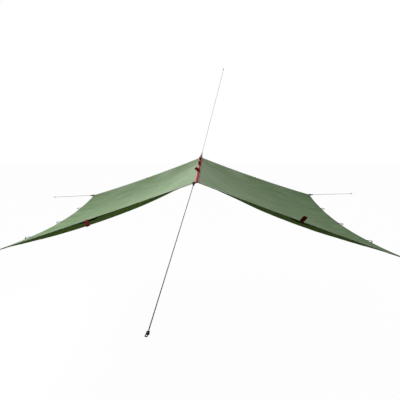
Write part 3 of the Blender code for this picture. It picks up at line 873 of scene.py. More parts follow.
# The underside's colour, as a share of the upper side's: darker, as painted shade for the shadow
# under the cloth
UNDERSIDE_PAINTED_SHADE = (0.50, 0.55, 0.45)
RIPSTOP = 0.0055
THREAD = 0.0006
GLOSS = 0.003
# How strongly streaks and clouds mix the two greens, and how much paler the ridge side is painted,
# as a painted sheen
MOTTLE = 0.9
RIDGE_PAINTED_SHEEN = 0.3
# The hems' paler strips, a painted highlight along the hems: their width and how pale they are, at
# the ends and at the side
HEM_HIGHLIGHT_ENDS = (0.018, 0.7)
HEM_HIGHLIGHT_SIDE = (0.006, 0.5)
HEM_HIGHLIGHT_BLUR = 0.003


def cloth_finish_of(name, colour, deep, through, through_share, gloss=0.0, roughness=0.55):
    """Coated rip-stop cloth: a square grid of thicker threads, soft crinkles, a coating that
    has gone streaky, and light that shines through. Painted on it: a paler ridge side as painted
    sheen, paler threads and weave as painted highlight, and paler hem strips as painted highlight."""
    made, tree, shader = new_finish(name, roughness, specular_ior_level=gloss)
    uv, flat = flat_place(tree)
    lines = []
    for axis in ("X", "Y"):
        rest = sum_of(tree, "MODULO", flat[axis], RIPSTOP)
        lines.append(sum_of(tree, "LESS_THAN", rest, THREAD))
    grid = sum_of(tree, "MAXIMUM", *lines)
    weave = sum_of(
        tree, "MULTIPLY", wave(tree, flat["X"], 0.0009), wave(tree, flat["Y"], 0.0009)
    )
    crinkle = step(
        tree, "ShaderNodeTexNoise", {"Vector": uv, "Scale": 22.0, "Detail": 3.0, "Distortion": 0.6}
    )
    long_spot = step(
        tree, "ShaderNodeVectorMath", {0: uv, 1: (3.0, 22.0, 1.0)}, operation="MULTIPLY"
    ).outputs[0]
    streaks = step(tree, "ShaderNodeTexNoise", {"Vector": long_spot, "Scale": 1.0, "Detail": 3.0})
    cloud = step(tree, "ShaderNodeTexNoise", {"Vector": uv, "Scale": 5.0, "Detail": 4.0})
    mottle = sum_of(tree, "ADD", streaks.outputs[0], cloud.outputs[0])
    # The ridge side is painted paler and the side edge deeper, a painted sheen added to the random
    # streaks and clouds
    mottle = sum_of(tree, "MULTIPLY_ADD", mottle, MOTTLE, 0.5 - MOTTLE + 0.5 * RIDGE_PAINTED_SHEEN)
    mottle = sum_of(tree, "MULTIPLY_ADD", flat["X"], -RIDGE_PAINTED_SHEEN / HALF_WIDTH, mottle, clamp=True)
    base = two_colours(tree, mottle, deep, colour)
    # Paler strips along the hems: a painted highlight
    ends = sum_of(tree, "MINIMUM", flat["Y"], sum_of(tree, "SUBTRACT", LENGTH, flat["Y"]))
    far_out = sum_of(tree, "SUBTRACT", HALF_WIDTH, flat["X"])
    for edge, (width, share) in ((ends, HEM_HIGHLIGHT_ENDS), (far_out, HEM_HIGHLIGHT_SIDE)):
        near = sum_of(tree, "SUBTRACT", width, edge)
        near = sum_of(tree, "DIVIDE", near, HEM_HIGHLIGHT_BLUR, clamp=True)
        hem_highlight = tuple(min(1.0, c * 1.1 + 0.10 * share) for c in colour)
        base = two_colours(tree, sum_of(tree, "MULTIPLY", near, share), base, hem_highlight)
    # The rip-stop threads and the fine weave are painted paler: a painted highlight on their relief
    shade = sum_of(tree, "MULTIPLY_ADD", grid, 0.10, 0.95)
    shade = sum_of(tree, "MULTIPLY_ADD", weave, 0.08, shade)
    tinted = step(tree, "ShaderNodeVectorMath", {0: base, "Scale": shade}, operation="SCALE")
    tree.links.new(tinted.outputs[0], shader.inputs["Base Color"])
    normal = bumped(tree, crinkle.outputs[0], 0.0035)
    normal = bumped(tree, grid, 0.00006, normal)
    tree.links.new(normal, shader.inputs["Normal"])
    glow = step(tree, "ShaderNodeBsdfTranslucent", {"Color": (*through, 1), "Normal": normal})
    mixed = step(
        tree,
        "ShaderNodeMixShader",
        {0: through_share, 1: shader.outputs[0], 2: glow.outputs[0]},
    )
    tree.links.new(mixed.outputs[0], tree.nodes["Material Output"].inputs["Surface"])
    return made


cloth_finish = cloth_finish_of(
    "ripstop_upper_side", CLOTH_GREEN, CLOTH_DEEP, CLOTH_THROUGH, THROUGH_SHARE, GLOSS
)
# The underside's finish is a darker copy of the upper side's: painted shade
green_shaded_under, deep_shaded_under = (
    tuple(c * u for c, u in zip(colour, UNDERSIDE_PAINTED_SHADE)) for colour in (CLOTH_GREEN, CLOTH_DEEP)
)
painted_shade_underside_finish = cloth_finish_of(
    "ripstop_underside", green_shaded_under, deep_shaded_under, CLOTH_THROUGH, THROUGH_SHARE
)
panel_points, panel_faces = flat_panel()
for side in SIDES:
    piece = new_piece(f"{side}_cloth", panel_points, faces=panel_faces)
    give_flat_uv(piece)
    thicken(piece, CLOTH_THICK)
    laid(piece, side, cloth_finish, painted_shade_underside_finish)
    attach(piece, f"{side}_wing")
    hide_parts(f"{side}_panel")

# Hem edges: the cloth is folded in twice at the edge, so the hem ends in a thick round fold. The
# fold is painted paler than the cloth beside it, a painted highlight, most on the crests of its
# puckers.
HEM_FOLD = 0.0044
HEM_FOLD_LIFT = -0.00115
HEM_START = 0.014
PATH_STEP = 0.02
# The cloth puckers at each stitch
STITCH_GAP = 0.0045
HEM_FOLD_HIGHLIGHT = (0.660, 0.730, 0.580)
fold_finish, tree, shader = new_finish("hem_fold", 0.7, specular_ior_level=0.0)
uv, place = flat_place(tree)
pucker = wave(tree, place["X"], STITCH_GAP)
fold_highlight_noise = step(tree, "ShaderNodeTexNoise", {"Vector": uv, "Scale": 14.0, "Detail": 3.0}).outputs[0]
# The fold's pale share, from its puckers and noise, is a painted highlight
share = sum_of(tree, "ADD", sum_of(tree, "MULTIPLY", pucker, 0.4), fold_highlight_noise, clamp=True)
fold_colour = two_colours(tree, share, CLOTH_GREEN, HEM_FOLD_HIGHLIGHT)
tree.links.new(fold_colour, shader.inputs["Base Color"])
tree.links.new(bumped(tree, pucker, 0.0004), shader.inputs["Normal"])
for side in SIDES:
    out = stops(HEM_START, HALF_WIDTH, PATH_STEP)
    rows = [(a, 0.0) for a in out]
    rows += [(HALF_WIDTH, b) for b in stops(0.0, LENGTH, PATH_STEP)[1:-1]]
    rows += [(a, LENGTH) for a in reversed(out)]
    route = [on_cloth(side, a, b, HEM_FOLD_LIFT)[0] for a, b in rows]
    piece = new_piece(f"{side}_hem_fold", route, chain(len(route)))
    shaped(piece, cord_tree, diameter=HEM_FOLD, sides=8, finish=fold_finish)
    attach(piece, f"{side}_wing")

# Reinforcement patches: dark coated cloth under every loop, which spreads its pull. Each is cut
# flat, square with a cut corner at the corners and half round along the edges, and is sewn
# under the cloth and its hem.
PATCH_THICK = 0.0004
PATCH_HEM_LIFT = -0.0011
PATCH_LIFT = -0.0007
CORNER_PATCH = 0.150
EDGE_PATCH = 0.150
EDGE_PATCH_DEPTH = 0.075
RIDGE_PATCH_START = 0.012
LINING_DARK = (0.016, 0.022, 0.014)
LINING_DEEP = (0.010, 0.014, 0.009)


def turn_of(a, b, c):
    return (b[0] - a[0]) * (c[1] - a[1]) - (b[1] - a[1]) * (c[0] - a[0])


def clipped(polygon, outline):
    """The part of a convex polygon that lies inside a convex outline."""
    for start, end in zip(outline, outline[1:] + outline[:1]):
        kept = []
        for here, after in zip(polygon, polygon[1:] + polygon[:1]):
            side_here, side_after = turn_of(start, end, here), turn_of(start, end, after)
            if side_here >= 0:
                kept.append(here)
            if side_here * side_after < 0:
                share = side_here / (side_here - side_after)
                kept.append((blend(here[0], after[0], share), blend(here[1], after[1], share)))
        polygon = kept
        if len(polygon) < 3:
            return []
    return polygon


def patch_lift(across, along):
    """How far a patch lies under the cloth: lower beneath the hem, and close beyond it."""
    edge = min(HALF_WIDTH - across, along, LENGTH - along)
    return blend(PATCH_HEM_LIFT, PATCH_LIFT, min(1.0, max(0.0, (edge - HEM_WIDTH) / CELL_ALONG)))


def half_round(centre, half, depth, count=24):
    """Points of a half ellipse that starts on the edge, as offsets along and inward."""
    angles = [math.pi * i / count for i in range(count + 1)]
    return [(centre - half * math.cos(a), depth * math.sin(a)) for a in angles]


def corner_outline(inset):
    size, cut = CORNER_PATCH - inset, CORNER_PATCH / 2 - inset * 0.414
    shape = [(0, 0), (size, 0), (size, cut), (cut, size), (0, size)]
    return [(HALF_WIDTH - inward, down) for inward, down in shape]


def edge_outline(side, end, inset):
    return half_round(edge_middle(side, end), EDGE_PATCH / 2 - inset, EDGE_PATCH_DEPTH - inset)


def ridge_outline(inset):
    first, low = RIDGE_PATCH_START + inset, CORNER_PATCH / 2 - inset
    last = CORNER_PATCH - inset * 1.414
    return [(first, 0), (last, 0), (last - low, low), (first, low)]


def side_outline(place, inset):
    shape = half_round(QUARTERS[place] * LENGTH, EDGE_PATCH / 2 - inset, EDGE_PATCH_DEPTH - inset)
    return [(HALF_WIDTH - depth, along) for along, depth in shape]


def outlines_of(side, inset=0.0):
    """The outline of each patch of a panel, by its name."""
    found = {}
    for end in ENDS:
        outlines = {
            "corner": corner_outline(inset),
            "edge": edge_outline(side, end, inset),
            "ridge": ridge_outline(inset),
        }
        for kind, outline in outlines.items():
            if end == "far":
                outline = [(across, LENGTH - along) for across, along in outline]
            found[f"{side}_{end}_{kind}"] = outline
    for place in QUARTERS:
        found[f"{side}_{place}_side"] = side_outline(place, inset)
    return found


def cell_lines(values, lines):
    """The cloth's lines that cross an outline, with the outline's own ends."""
    low, high = min(values), max(values)
    return sorted({low, high, *(line for line in lines if low < line < high)})


def flat_patch(outline):
    """A patch's flat pattern in cells, as points and faces."""
    if sum(turn_of(outline[0], b, c) for b, c in zip(outline[1:], outline[2:])) < 0:
        outline = outline[::-1]
    across = cell_lines([a for a, _ in outline], ACROSS_LINES)
    along = cell_lines([b for _, b in outline], ALONG_LINES)
    points, faces = {}, []
    for a0, a1 in zip(across, across[1:]):
        for b0, b1 in zip(along, along[1:]):
            face = []
            for a, b in clipped([(a0, b0), (a1, b0), (a1, b1), (a0, b1)], outline):
                spot = (round(a, 6), round(b, 6))
                index = points.setdefault(spot, len(points))
                if index not in face:
                    face.append(index)
            if len(face) > 2:
                faces.append(face)
    return [(a, b, patch_lift(a, b)) for a, b in points], faces


lining_finish = cloth_finish_of(
    "patch_cloth", LINING_DARK, LINING_DEEP, (0.0, 0.0, 0.0), 0.0, roughness=0.7
)
for side in SIDES:
    for name, outline in outlines_of(side).items():
        points, faces = flat_patch(outline)
        piece = new_piece(f"{name}_lining", points, faces=faces)
        give_flat_uv(piece)
        thicken(piece, PATCH_THICK)
        laid(piece, side, lining_finish)
        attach(piece, f"{side}_wing")
        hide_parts(f"{name}_patch")

# Loops of the wings: 25 mm woven webbing, folded over the hem with one leg on the cloth and one
# under the patch, and sewn through with bar tacks. The corner loops point along their
# guylines, the end edges' loops hang or stand, and the side loops stick out.
STRAP = 0.0010
STRAP_STEP = 0.0012
LOOP_LENGTH = 0.040
LEG_LENGTH = 0.018
LEG_SHARES = (1.0, 0.66, 0.33)
BEND_RADIUS = 0.0015
LEAN_START = 0.005
LEG_LIFT = 0.00135
LOW_LEG_LIFT = -0.00195
TOP_LAYER, LOW_LAYER = 0.00165, -0.00395
GUYLINE_ELEVATIONS = {"left": -6.6, "right": -3.7}
# Bend up or down in degrees, and lean along the edge for each metre out
EDGE_BENDS = {
    ("left", "near"): (-75, 0.0),
    ("left", "far"): (-75, 0.0),
    ("right", "near"): (60, -0.26),
    ("right", "far"): (-75, 0.0),
}
WEBBING_DARK = (0.016, 0.016, 0.017)
WEBBING_RED = (0.300, 0.020, 0.022)
# The tape is red webbing like the loops; its pale pink is painted sheen
TAPE_PINK_PAINTED_SHEEN = (0.820, 0.400, 0.420)
RIB = 0.0013
STRIPE_HALF = 0.006


def webbing_finish_of(name, colour, sheen=0.0, middle=None):
    """Woven webbing: ribs across it and a finer twill along it, and a stripe of another colour
    down its middle where it has one."""
    made, tree, shader = new_finish(
        name, 0.8, specular_ior_level=0.06, sheen_weight=sheen, sheen_roughness=0.5
    )
    uv, flat = flat_place(tree)
    slant = sum_of(tree, "ABSOLUTE", flat["Y"])
    ribs = wave(tree, sum_of(tree, "ADD", flat["X"], slant), RIB)
    warp = wave(tree, flat["Y"], RIB / 1.6)
    weave = sum_of(tree, "MULTIPLY", ribs, sum_of(tree, "MULTIPLY_ADD", warp, 0.4, 0.6))
    worn = step(tree, "ShaderNodeTexNoise", {"Vector": uv, "Scale": 90.0, "Detail": 2.0})
    low = tuple(c * 0.62 for c in colour)
    high = tuple(min(1.0, c * 1.18 + 0.006) for c in colour)
    mottle = sum_of(tree, "MULTIPLY_ADD", worn.outputs[0], 0.5, -0.25)
    # The ribs are painted darker in their grooves and paler on their crests, painted shade and
    # highlight of the weave, with random wear mottle
    share = sum_of(tree, "ADD", weave, mottle, clamp=True)
    base = two_colours(tree, share, low, high)
    if middle is not None:
        inside = sum_of(tree, "SUBTRACT", STRIPE_HALF, slant)
        inside = sum_of(tree, "DIVIDE", inside, 0.001, clamp=True)
        stripe = two_colours(tree, share, tuple(c * 0.62 for c in middle), middle)
        base = two_colours(tree, inside, base, stripe)
    tree.links.new(base, shader.inputs["Base Color"])
    tree.links.new(bumped(tree, weave, 0.0003), shader.inputs["Normal"])
    return made


# The tree that makes a strap along a path, whose points hold the direction of its width and
# how far its sides droop
strap_tree, given = new_tree(
    "webbing strap",
    ("Width", "Float", STRAP_WIDTH),
    ("Thickness", "Float", STRAP),
    ("Finish", "Material", None),
)
line = step(strap_tree, "GeometryNodeMeshToCurve", {"Mesh": given["Geometry"]}).outputs[0]
reach = step(strap_tree, "GeometryNodeSplineParameter").outputs
line, run = captured(strap_tree, line, "FLOAT", reach["Length"])
wide = step(
    strap_tree, "GeometryNodeInputNamedAttribute", {"Name": "wide"}, data_type="FLOAT_VECTOR"
)
line = step(
    strap_tree,
    "GeometryNodeSetCurveNormal",
    {"Curve": line, "Normal": wide.outputs[0]},
    mode="FREE",
).outputs[0]
section = step(
    strap_tree,
    "GeometryNodeCurvePrimitiveQuadrilateral",
    {"Width": given["Width"], "Height": given["Thickness"]},
).outputs[0]
rounding = sum_of(strap_tree, "MULTIPLY", given["Thickness"], 0.35)
section = step(
    strap_tree,
    "GeometryNodeFilletCurve",
    {"Curve": section, "Radius": rounding, "Count": 2},
    mode="POLY",
).outputs[0]
spot = step(strap_tree, "GeometryNodeInputPosition").outputs[0]
aside = step(strap_tree, "ShaderNodeSeparateXYZ", {"Vector": spot}).outputs["X"]
section, aside = captured(strap_tree, section, "FLOAT", aside)
band = step(
    strap_tree,
    "GeometryNodeCurveToMesh",
    {"Curve": line, "Profile Curve": section, "Fill Caps": True},
).outputs[0]
share = sum_of(strap_tree, "DIVIDE", aside, sum_of(strap_tree, "MULTIPLY", given["Width"], 0.5))
share = sum_of(strap_tree, "MULTIPLY", share, share)
droop = step(
    strap_tree, "GeometryNodeInputNamedAttribute", {"Name": "droop"}, data_type="FLOAT_VECTOR"
)
moved = step(
    strap_tree, "ShaderNodeVectorMath", {0: droop.outputs[0], "Scale": share}, operation="SCALE"
)
band = step(
    strap_tree, "GeometryNodeSetPosition", {"Geometry": band, "Offset": moved.outputs[0]}
).outputs[0]
end_tree(strap_tree, stored_uv(strap_tree, band, run, aside), given["Finish"])


def strap(name, rows, width, finish, thickness=STRAP):
    """A strap through rows of (centre, direction of its width, droop of its sides)."""
    centres, wides, droops = zip(*rows)
    droops = [Vector((0, 0, -droop)) for droop in droops]
    piece = new_piece(name, centres, chain(len(rows)), wide=wides, droop=droops)
    return shaped(piece, strap_tree, width=width, thickness=thickness, finish=finish)


def resampled(rows):
    """Rows of (centre, wide, droop) smoothed and spread evenly along their path."""
    places = [Vector((*c, *w, d)) for c, w, d in rows]
    kept, left_over = spread_curve(places, 12, STRAP_STEP)
    if left_over < STRAP_STEP / 2:
        kept.pop()
    kept.append(places[-1])
    return [(Vector(k[:3]), Vector(k[3:6]).normalized(), k[6]) for k in kept]


def turned(point, angle, about):
    """A flat point turned by an angle in degrees about another."""
    turn = math.radians(angle)
    out, rise = point[0] - about[0], point[1] - about[1]
    return (
        about[0] + out * math.cos(turn) - rise * math.sin(turn),
        about[1] + out * math.sin(turn) + rise * math.cos(turn),
    )


def eye_profile(bend):
    """The part of a loop beyond the hem, as (outward, up) points from the cloth's edge."""
    middle, half = (TOP_LAYER + LOW_LAYER) / 2, (TOP_LAYER - LOW_LAYER) / 2
    inset = 0.0002
    straight = LOOP_LENGTH - EYE_RADIUS
    upper, lower = [(inset, TOP_LAYER)], [(inset, LOW_LAYER)]
    about = (inset, middle)
    if bend:
        about = (inset, LOW_LAYER - BEND_RADIUS if bend < 0 else TOP_LAYER + BEND_RADIUS)
        pieces = max(2, math.ceil(abs(bend) / 15))
        turns = [bend * i / pieces for i in range(1, pieces + 1)]
        upper += [turned((inset, TOP_LAYER), turn, about) for turn in turns]
        lower += [turned((inset, LOW_LAYER), turn, about) for turn in turns]
    eye = [(inset + straight * 0.5, middle + blend(half, EYE_RADIUS, 0.7))]
    eye += arc((inset + straight, middle), EYE_RADIUS, 90, -90, 10)
    eye += [(inset + straight * 0.5, middle - blend(half, EYE_RADIUS, 0.7))]
    return upper + [turned(point, bend, about) for point in eye] + lower[::-1]


def edge_frame(side, across, along, inward):
    """A place on the cloth's edge, and its directions outward, along the edge and up."""
    place, _ = on_cloth(side, across, along)
    leg, _ = on_cloth(side, across + inward[0] * LEG_LENGTH, along + inward[1] * LEG_LENGTH)
    outward = (place - leg).normalized()
    _, normal = on_cloth(
        side, across + inward[0] * LEG_LENGTH / 2, along + inward[1] * LEG_LENGTH / 2
    )
    edge = outward.cross(normal).normalized()
    return place, outward, edge, edge.cross(outward)


def edge_strap(name, side, across, along, inward, bend, lean, pull, finish):
    """One loop over the hem, whose legs follow the cloth."""
    place, outward, edge, up = edge_frame(side, across, along, inward)
    if pull is not None:
        edge = pull.cross(up).normalized()
        outward = up.cross(edge).normalized()
        bend = math.degrees(math.asin(pull.dot(up)))

    def on_leg(share, lift):
        depth = LEG_LENGTH * share
        spot = (across + inward[0] * depth, along + inward[1] * depth)
        return on_cloth(side, *spot, lift)[0], edge, 0.0

    rows = [on_leg(share, LEG_LIFT) for share in LEG_SHARES]
    for out, rise in eye_profile(bend):
        beyond = max(0.0, math.hypot(out, rise) - LEAN_START)
        rows.append((place + outward * out + up * rise + edge * (lean * beyond), edge, 0.0))
    rows += [on_leg(share, LOW_LEG_LIFT) for share in reversed(LEG_SHARES)]
    return strap(name, resampled(rows), STRAP_WIDTH, finish)


red_finish = webbing_finish_of("webbing_red", WEBBING_RED, sheen=0.1)
dark_finish = webbing_finish_of("webbing_dark", WEBBING_DARK)
corner_turn = math.radians(CORNER_TURN)
# name: place across and along, direction into the cloth, bend, lean, direction of the pull
WING_LOOPS = {side: {} for side in SIDES}
for side in SIDES:
    for end, sign in ENDS.items():
        along = 0.0 if end == "near" else LENGTH
        inward = (-math.cos(corner_turn), -sign * math.sin(corner_turn))
        pull = pull_direction(GUYLINE_ELEVATIONS[side], 90 - CORNER_TURN, sign, SIDES[side])
        WING_LOOPS[side][f"{side}_{end}_corner"] = (HALF_WIDTH, along, inward, 0, 0.0, pull)
        bend, lean = EDGE_BENDS[side, end]
        WING_LOOPS[side][f"{side}_{end}_edge"] = (
            edge_middle(side, end), along, (0, -sign), bend, lean, None
        )
    for place, run in QUARTERS.items():
        WING_LOOPS[side][f"{side}_{place}_side"] = (
            HALF_WIDTH, run * LENGTH, (-1, 0), 0, 0.0, None
        )
    for name, words in WING_LOOPS[side].items():
        red = name.endswith("_edge")
        piece = edge_strap(f"{name}_strap", side, *words, red_finish if red else dark_finish)
        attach(piece, f"{side}_wing")
        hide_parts(f"{name}_loop")

# Ridge seam: the edges of both panels rolled together into one bead along the ridge, and sewn.
SEAM_BEAD = 0.0034
seam_finish, tree, shader = new_finish("seam_green", 0.6, specular_ior_level=0.06)
_, place = flat_place(tree)
pucker = wave(tree, place["X"], STITCH_GAP)
# The seam's puckers are painted deeper green in their dips and paler on their crests: painted shade
# and highlight
tree.links.new(two_colours(tree, pucker, CLOTH_DEEP, CLOTH_GREEN), shader.inputs["Base Color"])
tree.links.new(bumped(tree, pucker, 0.0006), shader.inputs["Normal"])
rows = [(0, y, 0) for y in stops(-LENGTH / 2, LENGTH / 2, 0.025)]
piece = new_piece("ridge_seam_bead", rows, chain(len(rows)))
shaped(piece, cord_tree, diameter=2 * SEAM_BEAD, sides=16, finish=seam_finish)
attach(piece, "ridge")
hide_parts("ridge_seam")

# Ridge tape: 25 mm red webbing tape sewn along the whole ridge over the seam, one half of its
# width on each panel. It bends along its middle where the cloth does.
TAPE_RED = (0.470, 0.075, 0.080)
TAPE_HALF = 0.0125
TAPE = 0.0013
TAPE_CREST = 0.00455
TAPE_FIRST, TAPE_LAST = 0.0012, 0.0080
TAPE_FIRST_LIFT, TAPE_LAST_LIFT = 0.0038, 0.0009
TAPE_STITCH = 0.0105
TAPE_STITCH_END = 0.003
# The lines of the tape's mesh across one half
TAPE_LINES = (0.0, 0.0015, 0.0030, 0.0046, 0.0064, 0.0082, 0.0102, TAPE_HALF)


def tape_lift(across):
    """How far the tape's underside is above the middle of the cloth."""
    share = min(1.0, max(0.0, (across - TAPE_FIRST) / (TAPE_LAST - TAPE_FIRST)))
    return blend(TAPE_FIRST_LIFT, TAPE_LAST_LIFT, share * share * (3 - 2 * share))


def tape_point(side, across, along, height):
    """A point of the tape, height above its underside."""
    if across < 1e-6:
        return Vector((0, along - LENGTH / 2, TAPE_CREST + height - TAPE / 2))
    return on_cloth(side, across, along, tape_lift(across) + height)[0]


def bends_with(piece):
    """Bakes a piece's place into its mesh; it is not bent at the ridge, nor given to a body."""
    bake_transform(piece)


# The tape's pink sides are painted sheen, and its middle is the deeper red stripe
tape_finish = webbing_finish_of("tape_red", TAPE_PINK_PAINTED_SHEEN, middle=TAPE_RED)
along = stops(0.0, LENGTH, PATH_STEP)
for side in SIDES:
    points, faces, uvs = [], [], []
    for height in (TAPE, 0.0):
        for b in along:
            for a in TAPE_LINES:
                points.append(tape_point(side, a, b, height))
                uvs.append((b, a * SIDES[side]))
    wide, rows = len(TAPE_LINES), len(along)
    under = wide * rows
    for j in range(rows - 1):
        for i in range(wide - 1):
            corner = j * wide + i
            top = (corner, corner + 1, corner + wide + 1, corner + wide)
            faces += [top, tuple(under + k for k in reversed(top))]
        for i, turn in ((0, 1), (wide - 1, -1)):
            corner = j * wide + i
            wall = (corner, corner + wide, under + corner + wide, under + corner)
            faces.append(wall[::turn])
    for j, turn in ((0, -1), (rows - 1, 1)):
        for i in range(wide - 1):
            corner = j * wide + i
            wall = (corner, corner + 1, under + corner + 1, under + corner)
            faces.append(wall[::turn])
    if side == "left":
        faces = [face[::-1] for face in faces]
    piece = new_piece(f"{side}_tape_half", points, faces=faces)
    layer = piece.data.uv_layers.new(name="UVMap")
    for loop in piece.data.loops:
        layer.data[loop.index].uv = uvs[loop.vertex_index]
    piece.data.materials.append(tape_finish)
    piece.data.shade_smooth()
    piece.data.set_sharp_from_angle(angle=math.radians(50))
    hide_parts("ridge_tape")
    bends_with(piece)

# Ridge loops: three loops of the same red webbing that stand on the tape for a ridge line. Each
# turns to the left as it rises, and its two legs are sewn flat along the tape.
RIDGE_FOOT = 0.0059
RIDGE_LOOP_LEG = 0.028
RIDGE_LOOP_ROOT = 0.003
RIDGE_LOOP_CURL = 0.003
RIDGE_LOOP_HEIGHT = 0.036
RIDGE_LOOP_LEANS = {"near": 38.0, "middle": 4.0, "far": 7.0}
LEG_DROOP = 0.0040
DROOP_END = 0.012
for place, part in QUARTERS.items():
    top = RIDGE_LOOP_HEIGHT - EYE_RADIUS
    rising = [(RIDGE_LOOP_LEG, 0.0), (0.022, 0.0), (0.016, 0.0), (0.010, 0.0)]
    turn_at = (RIDGE_LOOP_ROOT + RIDGE_LOOP_CURL, RIDGE_LOOP_CURL)
    rising += arc(turn_at, RIDGE_LOOP_CURL, 270, 180, 5)
    for share in (0.25, 0.4, 0.6, 0.8):
        rising.append((blend(RIDGE_LOOP_ROOT, EYE_RADIUS, share), top * share))
    profile = rising + arc((0, top), EYE_RADIUS, 0, 180, 12)
    profile += [(-out, rise) for out, rise in reversed(rising)]
    middle = (part - 0.5) * LENGTH
    rows = []
    for out, rise in profile:
        share = min(1.0, rise / (top * 0.8))
        lean = math.radians(RIDGE_LOOP_LEANS[place]) * share * share * (3 - 2 * share)
        low = max(0.0, 1 - rise / DROOP_END)
        centre = (-rise * math.sin(lean), middle + out, RIDGE_FOOT + rise * math.cos(lean))
        rows.append((centre, (math.cos(lean), 0, math.sin(lean)), LEG_DROOP * low * low))
    piece = strap(f"ridge_loop_{place}_strap", resampled(rows), STRAP_WIDTH, red_finish)
    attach(piece, "ridge")
    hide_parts(f"ridge_loop_{place}")

# End loops: a V of 15 mm red webbing at each end of the ridge, with one leg sewn on each half
# of the tape and both brought together in one eye, where the ridge cord is tied.
END_SPREAD = 0.012
END_LEG_LENGTH = 0.024
END_BEND = 0.0012
END_FOOT = 0.00635
END_LEG_LIFT = 0.0033
END_TILT = 11.0
# Where a leg would leave the ridge, and where it would follow the wing wholly, as (out, along); the
# legs aren't blended between them
END_BLEND_START = (0, 1.512)
END_BLEND_END = (0.010, 1.497)
for end, sign in ENDS.items():
    eye, words, wide, _ = CORDS[f"{end}_ridge_cord"]
    eye, wide, pull = Vector(eye), Vector(wide).normalized(), pull_direction(*words)
    rise = wide.cross(pull).normalized()
    rise = rise if rise.z > 0 else -rise
    along = 0.0 if end == "near" else LENGTH
    for side, layer in (("left", 1), ("right", -1)):
        out = SIDES[side]
        tilt = math.radians(END_TILT) * out
        flat = Vector((math.cos(tilt), 0, -math.sin(tilt)))
        rows = []
        for depth in (END_LEG_LENGTH, END_LEG_LENGTH * 0.6, END_LEG_LENGTH * 0.25, 0.0005):
            spot, _ = on_cloth(side, END_SPREAD, along - sign * depth, END_LEG_LIFT)
            rows.append((spot, flat, 0.0))
        start = Vector((0, sign * (LENGTH / 2 + END_BEND), END_FOOT))
        leg_end, _ = on_cloth(side, END_SPREAD, along, END_LEG_LIFT)
        leg_end += Vector((0, sign * END_BEND, 0))
        lower = leg_end - start - wide * (out * END_SPREAD)
        for share in (0.0, 0.12, 0.25, 0.4, 0.55, 0.7, 0.85, 1.0):
            eased = share * share * (3 - 2 * share)
            spot = start.lerp(eye, share) + wide * (out * END_SPREAD * (1 - eased))
            spot += rise * (layer * END_EYE_RADIUS * eased) + lower * (1 - eased)
            rows.append((spot, flat.lerp(wide, eased).normalized(), 0.0))
        for ahead, up in arc((0, 0), END_EYE_RADIUS, 90 * layer, 0, 6)[1:]:
            rows.append((eye + pull * ahead + rise * up, wide, 0.0))
        piece = strap(
            f"{end}_end_{side}_strap", resampled(rows), END_STRAP_WIDTH, red_finish
        )
        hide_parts(f"{end}_end_loop")
        out * END_BLEND_START[0]
        out * END_BLEND_END[0]
        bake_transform(piece)

# Stitching: rows of thread along the hems, round the patches and along the tape, and zigzag bar
# tacks over the legs of the loops, each stitch a small bead of thread sunk in the cloth.
THREAD_GREEN = (0.240, 0.330, 0.210)
THREAD_RED = (0.420, 0.050, 0.055)
# Rows from the cloth's edge and their height in the hem, and the rows within the patches
HEM_ROWS = (0.0045, 0.0170)
HEM_STITCH_LIFT = -0.00045
PATCH_ROW = 0.003
PATCH_ROW_CLEAR = 0.021
PATCH_STITCH_LIFT = PATCH_LIFT - 0.00005
# Bar tacks: how far in they are on a loop's legs and on a ridge loop's, and their size
TACK_DEPTHS = (0.006, 0.014)
RIDGE_TACK_PLACES = (-0.024, -0.014, 0.014, 0.024)
TACK_WIDTH = STRAP_WIDTH - 0.003
TACK_HEIGHT = 0.0018
stitch_tree, given = new_tree(
    "stitching",
    ("Gap", "Float", STITCH_GAP),
    ("Length", "Float", 0.0034),
    ("Width", "Float", 0.00055),
    ("Height", "Float", 0.0022),
    ("Finish", "Material", None),
)
line = step(stitch_tree, "GeometryNodeMeshToCurve", {"Mesh": given["Geometry"]}).outputs[0]
placed = step(
    stitch_tree, "GeometryNodeCurveToPoints", {"Curve": line, "Length": given["Gap"]}, mode="LENGTH"
).outputs
bead = step(
    stitch_tree, "GeometryNodeMeshIcoSphere", {"Radius": 0.5, "Subdivisions": 1}
).outputs[0]
aligned = step(
    stitch_tree, "FunctionNodeAlignRotationToVector", {"Vector": placed["Tangent"]}, axis="X"
).outputs[0]
size = step(
    stitch_tree,
    "ShaderNodeCombineXYZ",
    {"X": given["Length"], "Y": given["Width"], "Z": given["Height"]},
).outputs[0]
stitches = step(
    stitch_tree,
    "GeometryNodeInstanceOnPoints",
    {"Points": placed["Points"], "Instance": bead, "Rotation": aligned, "Scale": size},
).outputs[0]
end_tree(stitch_tree, stitches, given["Finish"])


def thread_finish_of(name, colour):
    made, _, shader = new_finish(name, 0.6, specular_ior_level=0.2)
    shader.inputs["Base Color"].default_value = (*colour, 1)
    return made


def stitched(name, rows, finish, **sizes):
    """Stitches along rows of points."""
    points, edges = [], []
    for row in rows:
        edges += chain(len(row), len(points))
        points += row
    return shaped(new_piece(name, points, edges), stitch_tree, finish=finish, **sizes)


def bar_tack(centre, wide, deep):
    """A zigzag row over a strap, as points about its centre."""
    count = 20
    spots = []
    for i in range(count + 1):
        aside = TACK_WIDTH * (i / count - 0.5)
        spots.append(centre + wide * aside + deep * (TACK_HEIGHT / 2 * (-1) ** i))
    return spots


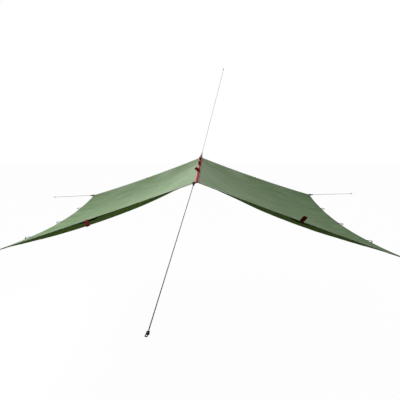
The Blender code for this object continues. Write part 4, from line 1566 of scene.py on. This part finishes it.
green_thread = thread_finish_of("thread_green", THREAD_GREEN)
red_thread = thread_finish_of("thread_red", THREAD_RED)
dark_thread = thread_finish_of("thread_dark", WEBBING_DARK)
TACK = {"gap": 0.0013, "length": 0.0017, "width": 0.00050, "height": 0.0006}
for side in SIDES:
    rows = []
    for inset in HEM_ROWS:
        out = HALF_WIDTH - inset
        rows.append([(out, b, HEM_STITCH_LIFT) for b in (inset, LENGTH - inset)])
        for along in (inset, LENGTH - inset):
            rows.append([(a, along, HEM_STITCH_LIFT) for a in (HEM_START, out)])
    for outline in outlines_of(side, PATCH_ROW).values():
        inner = [
            (a, b, PATCH_STITCH_LIFT)
            for a, b in outline
            if min(HALF_WIDTH - a, b, LENGTH - b) > PATCH_ROW_CLEAR
        ]
        rows.append(inner)
    piece = stitched(f"{side}_stitching", rows, green_thread)
    laid(piece, side, green_thread)
    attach(piece, f"{side}_wing")
    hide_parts(f"{side}_panel")
    for colour, thread in (("red", red_thread), ("dark", dark_thread)):
        rows = []
        for name, (across, along, inward, *_) in WING_LOOPS[side].items():
            if name.endswith("_edge") != (colour == "red"):
                continue
            deep = Vector((*inward, 0))
            wide = Vector((-inward[1], inward[0], 0))
            for depth in TACK_DEPTHS:
                for lift in (LEG_LIFT + STRAP / 2, LOW_LEG_LIFT - STRAP / 2):
                    centre = Vector((across, along, lift)) + deep * depth
                    rows.append(bar_tack(centre, wide, deep))
        piece = stitched(f"{side}_{colour}_bar_tacks", rows, thread, **TACK)
        laid(piece, side, thread)
        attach(piece, f"{side}_wing")
    run = stops(TAPE_STITCH_END, LENGTH - TAPE_STITCH_END, PATH_STEP)
    row = [tape_point(side, TAPE_STITCH, b, TAPE) for b in run]
    piece = stitched(f"{side}_tape_stitching", [row], red_thread, height=0.0006)
    bends_with(piece)
rows = []
for part in QUARTERS.values():
    middle = (part - 0.5) * LENGTH
    for out in RIDGE_TACK_PLACES:
        centre = Vector((0, middle + out, RIDGE_FOOT + STRAP / 2))
        row = bar_tack(centre, Vector((1, 0, 0)), Vector((0, 1, 0)))
        half = STRAP_WIDTH / 2
        rows.append([p - Vector((0, 0, LEG_DROOP * (p.x / half) ** 2)) for p in row])
piece = stitched("ridge_loop_bar_tacks", rows, red_thread, **TACK)
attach(piece, "ridge")
